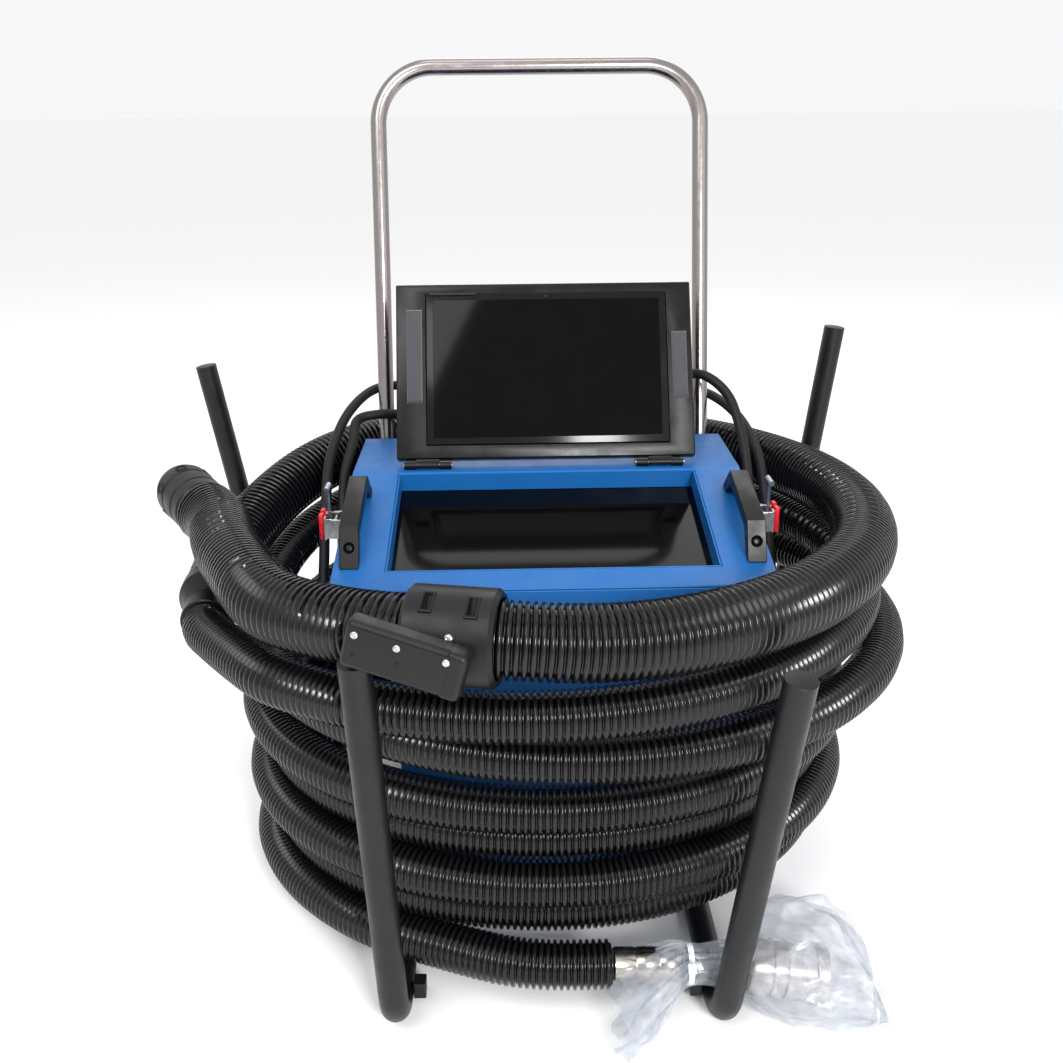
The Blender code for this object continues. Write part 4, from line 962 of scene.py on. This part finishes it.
    def bag(self) -> bpy.types.Object:
        """The clear bag: a flattened sack over the head, gathered at the tie, with a loose mouth.

        The half width, half height and centre line are smooth curves of the share u along the
        bag. The wall is moved by sums of sines whose crests run along the gathers near the tie
        and across the sack away from it, so that it folds like film.
        """
        u = np.linspace(0, 1, 120)
        v = np.linspace(0, 2 * math.pi, 180, endpoint=False)
        stops = [0.0, 0.12, 0.24, 0.305, 0.36, 0.47, 0.54, 0.66, 0.82, 0.93, 1.0]
        wide = np.interp(u, stops, [0.052, 0.044, 0.024, 0.0162, 0.0160, 0.0175, 0.040, 0.056,
                                    0.058, 0.054, 0.046])
        tall = np.interp(u, stops, [0.020, 0.024, 0.021, 0.0162, 0.0160, 0.0175, 0.033, 0.045,
                                    0.043, 0.034, 0.016])
        x = np.interp(u, [0.0, 0.30, 0.47, 1.0], [0.046, 0.108, 0.150, 0.272])
        y = np.interp(u, [0.0, 0.12, 0.30, 0.47, 1.0], [-0.292, -0.284, -0.262, -0.262, -0.268])
        z = np.interp(u, stops, [0.026, 0.034, 0.042, 0.0442, 0.0436, 0.0432, 0.045, 0.0495,
                                 0.047, 0.038, 0.022])
        smooth = np.hanning(9)
        smooth /= smooth.sum()

        def soft(values: np.ndarray) -> np.ndarray:
            """Values smoothed along the bag by a short Hann window, with their ends held."""
            return np.convolve(np.pad(values, 4, mode="edge"), smooth, mode="valid")

        wide, tall, x, y, z = map(soft, (wide, tall, x, y, z))
        near_tie = np.exp(-(((u - 0.33) / 0.16) ** 2))[:, None]
        gathers = (np.sin(11 * v) + 0.6 * np.sin(17 * v + 1.3) + 0.4 * np.sin(29 * v + 0.4))[None]
        across = (np.sin(9 * v[None] + 14 * u[:, None])
                  + 0.7 * np.sin(5 * v[None] - 23 * u[:, None] + 2.0)
                  + 0.5 * np.sin(13 * v[None] + 31 * u[:, None] + 0.7))
        tight = np.exp(-(((u - 0.36) / 0.055) ** 2))[:, None]
        loose = 0.11 * gathers * near_tie + 0.045 * across * (1 - near_tie)
        fold = 1 + loose * (1 - 0.85 * tight)
        sides = np.sign(np.cos(v)) * np.abs(np.cos(v)) ** 0.8
        rises = np.sign(np.sin(v)) * np.abs(np.sin(v)) ** 0.9
        points = np.stack([
            np.broadcast_to(x[:, None], fold.shape) + 0.004 * across * (1 - near_tie),
            y[:, None] + wide[:, None] * sides[None] * fold,
            z[:, None] + tall[:, None] * rises[None] * fold,
        ], axis=2) + SHIFT
        points[..., 2] = np.maximum(points[..., 2], self.bag_clearance)
        end = points[-1].mean(0)
        closing = end + (points[-1] - end) * np.array([0.72, 0.4, 0.1])[:, None, None]
        closing[..., 0] += np.array([0.003, 0.0045, 0.005])[:, None]
        closing[..., 2] = np.maximum(closing[..., 2], self.bag_clearance)
        rows = np.concatenate([points, closing])
        faces = rows_of(grid_faces(len(rows), len(v), True))
        last = (len(rows) - 1) * len(v)
        centre = len(rows) * len(v)
        faces += [(centre, last + k, last + (k + 1) % len(v)) for k in range(len(v))]
        cloud = np.concatenate([rows.reshape(-1, 3), [rows[-1].mean(0)]])
        made = mesh_object("protective_bag_film", cloud, faces, FILM, sharp=60)
        wall = made.modifiers.new("film", "SOLIDIFY")
        wall.thickness = 0.00025
        wall.offset = 0.0
        return dress(made, CRADLE, "clear_film", "protective_bag")

    def push_rod(self, carried: list) -> None:
        """The stiff rod inside the sleeve and the boot, which carries the camera body."""
        path = np.linspace(self.neck(self.start_x + 0.001), self.neck(self.head_x + 0.004), 30)
        points, faces = capped_tube(sweep(path, np.full(len(path), self.rod_diameter / 2), 16))
        made = mesh_object("push_rod", points, faces, CABLE_RUBBER)
        dress(made, CRADLE, "black_rubber")

    def build(self) -> list:
        """Makes the pieces at the end of the hose.

        Returns:
            The pieces that the hose itself carries.
        """
        sleeve, boot, body, lens = self.metalwork()
        self.push_rod([body, lens, self.bag()])
        return [sleeve, boot, self.tie()]


# ---- Rigid sub-assemblies ---------------------------------------------------------------------


@dataclass
class Console:
    """Blue console and cabinet, with screen, handles and their screws."""

    slope: float = math.radians(12.15)
    crease: tuple[float, float] = (0.030, 0.406)

    def on_slope(self, x: float, along: float, out: float) -> np.ndarray:
        """A point of the sloping top's own frame: across, up the slope, and out from it."""
        c, s = math.cos(self.slope), math.sin(self.slope)
        return design(x, self.crease[0] + along * c - out * s,
                      self.crease[1] + along * s + out * c)

    def build(self) -> None:
        """Eases the sheet metal's edges and adds the screws and the rear access plate."""
        for node, edge, finish, slot in (
            ("console_body", 0.0012, BLUE_POWDER, "powder_blue"),
            ("top_frame", 0.0012, BLUE_POWDER, "powder_blue"),
            ("screen_well_wall", 0.0003, BLUE_POWDER, "powder_blue"),
            ("lower_cabinet", 0.0012, BLUE_POWDER, "powder_blue"),
            ("screen_glass", 0.0004, SCREEN, "screen_glass"),
            ("display_module", 0.001, MOULDED_BLACK, "black_plastic"),
            ("battery_pack", 0.0008, GREY_CASE, "battery_case"),
            ("carry_handle_left", 0.0012, MOULDED_BLACK, "black_plastic"),
            ("handle_clamp_left", 0.0006, MOULDED_BLACK, "black_plastic"),
            ("carry_handle_right", 0.0012, MOULDED_BLACK, "black_plastic"),
            ("handle_clamp_right", 0.0006, MOULDED_BLACK, "black_plastic"),
        ):
            eased(node, edge, finish, CRADLE, slot)
        self.screws()

    def screws(self) -> None:
        """Screws of the carry handles, the saddle clamps and the cabinet's rear cover."""
        normal = np.array([0.0, -math.sin(self.slope), math.cos(self.slope)])
        uphill = np.array([0.0, math.cos(self.slope), math.sin(self.slope)])
        slanted = -0.8 * uphill + 0.6 * normal
        heads = []
        for side in (-1, 1):
            x = side * 0.179
            foot = self.on_slope(x, -0.15625, 0.0155)
            heads.append(screw_head(f"handle_screw_{side}", foot - slanted * 0.0034, slanted,
                                    0.0036, BLACK_POWDER))
            clamp_x = PUSH_CENTRE_X + side * PUSH_HALF_WIDTH
            for away in (-0.0118, 0.0118):
                heads.append(screw_head(f"clamp_screw_{side}_{away}",
                                        design(clamp_x + away, 0.1766, 0.3305), REARWARD, 0.0021))
        for x in (-0.165, -0.055, 0.055, 0.165):
            heads.append(screw_head(f"rear_screw_{x}", design(x, 0.1450, 0.392), REARWARD, 0.0028))
        dress(join("console_screws", heads), CRADLE, "bright_steel")
        plate = rounded_box("rear_access_plate", design(0.0, 0.1262, 0.165),
                            (0.105, 0.0013, 0.085), np.eye(3), 0.0008, BLUE_POWDER)
        corners = [screw_head(f"plate_screw_{x}_{z}", design(x, 0.1275, z), REARWARD, 0.0026)
                   for x in (-0.096, 0.096) for z in (0.089, 0.241)]
        dress(join("cabinet_access_plate", [plate, *corners]), CRADLE, "powder_blue")


@dataclass
class Lid:
    """Lid tray with the tablet, its pads, and both hinges."""

    lean: float = math.radians(27.8)
    hinge: tuple[float, float] = (0.035, 0.4105)
    far: float = 0.186
    front: float = 0.001
    tablet_height: float = 0.156
    tablet_margin: float = 0.0099
    tablet_x: float = 0.0025

    def at(self, x: float, along: float, out: float) -> np.ndarray:
        """A point of the lid's frame: across, up from the hinge, and out towards the operator."""
        c, s = math.sin(self.lean), math.cos(self.lean)
        return design(x, self.hinge[0] + along * c - out * s,
                      self.hinge[1] + along * s + out * c)

    def axes(self) -> np.ndarray:
        """The lid frame's three directions as rows."""
        corner = self.at(0, 0, 0)
        return np.array([ACROSS, self.at(0, 1, 0) - corner, self.at(0, 0, 1) - corner])

    def pad(self, name: str, side: int, low: float, high: float) -> None:
        """A felt pad with crowned face and rounded edges.

        Its height is 4 mm (1 - |2u-1|^8)^(1/4) (1 - |2v-1|^14)^(1/4), which is flat in the
        middle and rounds off at the rim.
        """
        x_middle = {-1: -0.1315, 1: 0.1370}[side]
        columns, rows = 25, 61
        size = columns * rows
        u, v = np.linspace(0, 1, columns), np.linspace(0, 1, rows)
        crown = ((1 - np.abs(2 * u - 1) ** 8) ** 0.25)[:, None]
        crown = crown * ((1 - np.abs(2 * v - 1) ** 14) ** 0.25)[None]
        crown *= 1 + 0.05 * np.sin(9 * u)[:, None] * np.sin(14 * v)[None]
        x = x_middle + (u - 0.5) * 0.0155
        y = low + (high - low) * v
        local = np.stack([np.broadcast_to(x[:, None], crown.shape),
                          np.broadcast_to(y[None], crown.shape),
                          self.front + 0.0003 + 0.0040 * crown], axis=2)
        base = local.copy()
        base[..., 2] = self.front + 0.0001
        both = np.concatenate([local.reshape(-1, 3), base.reshape(-1, 3)])
        top = grid_faces(columns, rows, False)
        under = top[:, ::-1] + size
        rim = np.concatenate([np.arange(rows), np.arange(1, columns) * rows + rows - 1,
                              size - rows + np.arange(rows - 2, -1, -1),
                              np.arange(columns - 2, 0, -1) * rows])
        after = np.roll(rim, -1)
        wall = np.stack([rim, after, after + size, rim + size], axis=1)
        points = self.at(0, 0, 0) + both @ self.axes()
        made = mesh_object(f"{name}_felt", points, rows_of(np.concatenate([top, under, wall])), FELT)
        dress(made, LID, "felt", name)

    def build(self) -> None:
        """Makes the lid's pieces."""
        eased("lid_shell", 0.0010, LID_BLACK, LID, "black_plastic")
        eased("tablet", 0.0005, SCREEN_BORDER, LID, "screen_glass")
        axes = self.axes()
        middle = self.far - self.tablet_margin - self.tablet_height / 2
        glass = rounded_box("tablet_display", self.at(self.tablet_x, middle, self.front + 0.0011),
                            (0.1150, 0.0710, 0.0004), axes, 0.0003, SCREEN)
        lens = turned("tablet_eye", [(0.0, 0.0), (0.0, 0.0016), (0.0004, 0.0014), (0.0004, 0.0)],
                      self.at(self.tablet_x, self.far - 0.0135, self.front + 0.0008), axes[2],
                      CABLE_RUBBER, 24)
        ledge = rounded_box("tablet_clip", self.at(-0.092, self.far - 0.0105, self.front + 0.0010),
                            (0.024, 0.0016, 0.0010), axes, 0.0008, MOULDED_BLACK)
        dress(join("tablet_face", [glass, lens, ledge]), LID, "screen_glass")
        self.pad("foam_pad_left", -1, self.far - 0.123, self.far - 0.0265)
        self.pad("foam_pad_right", 1, self.far - 0.121, self.far - 0.052)
        heads = []
        for side in ("left", "right"):
            eased(f"hinge_deck_leaf_{side}", 0.0, BLACK_POWDER, CRADLE, "bright_steel")
            eased(f"hinge_lid_leaf_{side}", 0.0, BLACK_POWDER, LID, "bright_steel")
            eased(f"hinge_pin_{side}", 0.0, ZINC, CRADLE, "bright_steel")
            low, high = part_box(f"hinge_deck_leaf_{side}")
            for share in (0.15, 0.5, 0.85):
                spot = np.array([low.x + (high.x - low.x) * share, high.y - 0.007, 0.4070])
                heads.append(screw_head(f"hinge_screw_{side}_{share}", spot, UP, 0.0022))
        dress(join("hinge_screws", heads), CRADLE, "bright_steel")


@dataclass
class Latches:
    """Toggle latches on both sides, with red grips."""

    def build(self) -> None:
        """Eases the stampings and the grips."""
        for side in ("left", "right"):
            for node, width, finish, body in (
                (f"latch_base_{side}", 0.0003, ZINC, CRADLE),
                (f"latch_lever_{side}", 0.0003, ZINC, f"latch_lever_{side}"),
                (f"latch_grip_{side}", 0.0005, RED_DIP, f"latch_lever_{side}"),
                (f"latch_hook_{side}", 0.0, ZINC, f"latch_hook_{side}"),
            ):
                eased(node, width, finish, body,
                      "red_rubber" if finish is RED_DIP else "bright_steel")


@dataclass
class Cradle:
    """Rails, posts, hoop, base plate, wheels and the push handle."""

    rail_radius: float = 0.0125
    tube_sides: int = 40
    hoop_y: float = 0.24
    foot_y: float = 0.165
    top_y: float = 0.280
    top_z: float = 0.783
    spokes: int = 5

    def tube(self, node: str, corners: list, radius: float, bend: float,
             finish: Finish = BLACK_POWDER, slot: str = "black_powder") -> None:
        """A round tube through corners, with an arc of the bend radius at each inner one.

        At a corner the path leaves the straight line at bend tan(a/2) before it, and follows
        start + into R sin t + side R (1 - cos t).
        """
        corners = [np.array(c, float) for c in corners]
        points = [corners[0]]
        for before, corner, after in zip(corners, corners[1:], corners[2:]):
            into, out = unit(corner - before), unit(after - corner)
            angle = math.acos(float(np.clip(into @ out, -1, 1)))
            side = unit(out - into * (into @ out))
            begin = corner - into * bend * math.tan(angle / 2)
            t = np.linspace(0, angle, 24)[:, None]
            points.extend(begin + into * bend * np.sin(t) + side * bend * (1 - np.cos(t)))
        points.append(corners[-1])
        path = np.array(points) + SHIFT
        plane = unit(np.cross(path[1] - path[0], path[-1] - path[len(path) // 2]))
        rings = sweep(path, np.full(len(path), radius), self.tube_sides, plane)
        ends = []
        for end, inner in ((0, 1), (-1, -2)):
            way = unit(path[end] - path[inner])
            ends.append([path[end] + (rings[end] - path[end]) * share + way * rise * radius
                         for share, rise in ((0.975, 0.03), (0.92, 0.045))])
        cloud, faces = capped_tube(np.concatenate([ends[0][::-1], rings, ends[1]]))
        made = mesh_object(f"{node}_tube", cloud, faces, finish, sharp=28)
        dress(made, CRADLE, slot, node)

    def wheel(self, side: str, sign: int) -> None:
        """A rubber tyre with three grooves on a five-spoke plastic hub."""
        low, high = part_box(f"wheel_{side}")
        centre = np.array((low + high) / 2)
        r, half = 0.045, 0.012
        tread = [(half - 0.001, r - 0.0035), (half - 0.003, r - 0.001)]
        for x in (0.006, 0.0, -0.006):
            tread += [(x + 0.0015, r), (x + 0.0010, r - 0.0016), (x - 0.0010, r - 0.0016),
                      (x - 0.0015, r)]
        tread += [(0.003 - half, r - 0.001), (0.001 - half, r - 0.0035), (0.0005 - half, 0.031),
                  (0.002 - half, 0.0285), (half - 0.002, 0.0285), (half - 0.0005, 0.031)]
        tyre = turned(f"tyre_{side}", tread, centre, ACROSS, TYRE, 72)
        hub = turned(f"hub_{side}", [(-half - 0.002, 0.0064), (-half - 0.002, 0.0115), (-0.0045, 0.0125),
                                     (-0.0035, 0.0250), (-half + 0.002, 0.0265), (-half + 0.001, 0.0284),
                                     (half - 0.001, 0.0284), (half - 0.002, 0.0265), (0.0035, 0.0250),
                                     (0.0045, 0.0125), (half + 0.002, 0.0115), (half + 0.002, 0.0064)],
                     centre, ACROSS, MOULDED_BLACK, 72)
        spokes = []
        for k in range(self.spokes):
            angle = 2 * math.pi * k / self.spokes
            away = np.array([0.0, math.cos(angle), math.sin(angle)])
            across = np.array([0.0, -math.sin(angle), math.cos(angle)])
            spokes.append(rounded_box(f"spoke_{side}_{k}", centre + away * 0.0188,
                                      (0.0075, 0.0075, 0.0028), np.array([ACROSS, away, across]),
                                      0.0012, MOULDED_BLACK))
        made = join(f"wheel_{side}_detailed", [tyre, hub, *spokes])
        dress(made, f"wheel_{side}", "tyre", f"wheel_{side}")
        outward = ACROSS * sign
        dome = [(0.0, 0.0), (0.0, 0.0085), (0.003, 0.0085), (0.0048, 0.0060), (0.0048, 0.0)]
        cap = turned(f"axle_cap_{side}", dome, centre + outward * (half + 0.0032), outward, ZINC, 40)
        dress(cap, CRADLE, "bright_steel")

    def build(self) -> None:
        """Makes the tubes, plates, wheels and the push handle."""
        for side, top, foot in (("left", (-0.152, -0.312, 0.3755), (-0.143, -0.289)),
                                ("right", (0.166, -0.340, 0.370), (0.139, -0.294))):
            corners = [top, (*foot, self.rail_radius), (foot[0], 0.2282, self.rail_radius)]
            self.tube(f"rail_and_post_{side}", corners, self.rail_radius, 0.034)
            eased(f"rail_lug_{side}", 0.001, BLACK_POWDER, CRADLE, "black_powder")
            eased(f"axle_bracket_{side}", 0.0006, BLACK_POWDER, CRADLE, "black_powder")
            self.wheel(side, -1 if side == "left" else 1)
        hoop = [(x, self.hoop_y, z) for x, z in (
            (-0.3842, 0.4673), (-0.3155, self.rail_radius), (0.2855, self.rail_radius),
            (0.3394, 0.5027),
        )]
        self.tube("rear_hoop", hoop, 0.0115, 0.050)
        left, right = PUSH_CENTRE_X - PUSH_HALF_WIDTH, PUSH_CENTRE_X + PUSH_HALF_WIDTH
        leg = ((self.foot_y, 0.305), (self.foot_y, 0.360), (self.top_y, self.top_z))
        handle = [(left, y, z) for y, z in leg] + [(right, y, z) for y, z in leg[::-1]]
        self.tube("push_handle", handle, 0.0086, 0.060, STAINLESS, "stainless")
        eased("base_plate", 0.0006, BLACK_POWDER, CRADLE, "black_powder")
        eased("wheel_axle", 0.0006, ZINC, CRADLE, "bright_steel")


# ---- Stage ------------------------------------------------------------------------------------


@dataclass
class Stage:
    """Camera, floor and lights."""

    focal_mm: float = 37.48
    place: tuple[float, float, float] = (-0.038, -1.022, 0.757)
    pitch: float = 0.378
    yaw: float = 0.021
    roll: float = -0.009

    def camera(self) -> None:
        """A camera at head height in front of the console, looking down at it."""
        ce, se = math.cos(self.pitch), math.sin(self.pitch)
        cy, sy = math.cos(self.yaw), math.sin(self.yaw)
        ahead = Vector((sy * ce, cy * ce, -se))
        right = Vector((cy, -sy, 0.0))
        above = right.cross(ahead)
        x = right * math.cos(self.roll) + above * math.sin(self.roll)
        y = above * math.cos(self.roll) - right * math.sin(self.roll)
        data = bpy.data.cameras.new("camera")
        data.lens = self.focal_mm
        data.sensor_width = 36.0
        made = bpy.data.objects.new("camera", data)
        turn = Matrix((x, y, -ahead)).transposed().to_4x4()
        made.matrix_world = Matrix.Translation(Vector(design(*self.place))) @ turn
        bpy.context.scene.collection.objects.link(made)
        bpy.context.scene.camera = made

    def light(self, name: str, place: tuple, size: float, power: float) -> None:
        """A square area light that faces the middle of the object."""
        data = bpy.data.lights.new(name, "AREA")
        data.size = size
        data.energy = power
        made = bpy.data.objects.new(name, data)
        made.location = place
        aim = Vector((0.0, 0.0, 0.25)) - Vector(place)
        made.rotation_euler = aim.to_track_quat("-Z", "Y").to_euler()
        bpy.context.scene.collection.objects.link(made)

    def build(self) -> None:
        """Makes the floor, the soft lights and the pale surroundings."""
        self.camera()
        mesh = bpy.data.meshes.new("floor")
        reach = 40.0
        corners = [(-reach, -reach, 0), (reach, -reach, 0), (reach, reach, 0), (-reach, reach, 0)]
        mesh.from_pydata(corners, [], [(0, 1, 2, 3)])
        floor = bpy.data.objects.new("floor", mesh)
        paint = bpy.data.materials.new("pale_floor")
        paint.use_nodes = True
        shader = paint.node_tree.nodes["Principled BSDF"]
        shader.inputs["Base Color"].default_value = linear("#fbfbfb")
        shader.inputs["Roughness"].default_value = 0.6
        mesh.materials.append(paint)
        bpy.context.scene.collection.objects.link(floor)
        floor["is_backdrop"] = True
        self.light("key", (-0.9, -1.5, 2.4), 1.2, 26.0)
        self.light("front", (0.55, -1.9, 1.15), 0.45, 40.0)
        self.light("fill", (1.9, -1.2, 1.5), 1.5, 5.0)
        self.light("rim", (0.3, 2.2, 2.1), 1.5, 14.0)
        self.light("top", (0.0, 0.1, 2.8), 1.0, 6.0)
        world = bpy.data.worlds.new("pale_room")
        world.use_nodes = True
        sky = world.node_tree.nodes["Background"]
        sky.inputs["Color"].default_value = linear("#fdfdfe")
        sky.inputs["Strength"].default_value = 0.95
        bpy.context.scene.world = world
        bpy.context.scene.view_settings.view_transform = "Standard"


def main() -> None:
    """Builds the stage, the cords and every sub-assembly, and reports each piece."""
    logging.basicConfig(level=logging.INFO)
    Stage().build()
    hoses = Hoses()
    fittings = WideHoseFittings(hoses).build()
    head = CameraHead().build()
    hoses.build(fittings, head)
    Cables().build()
    Cradle().build()
    Console().build()
    Lid().build()
    Latches().build()
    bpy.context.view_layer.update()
    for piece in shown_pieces():
        LOG.info("%s: %d points", piece.name, len(piece.data.vertices))


if __name__ == "__main__":
    main()
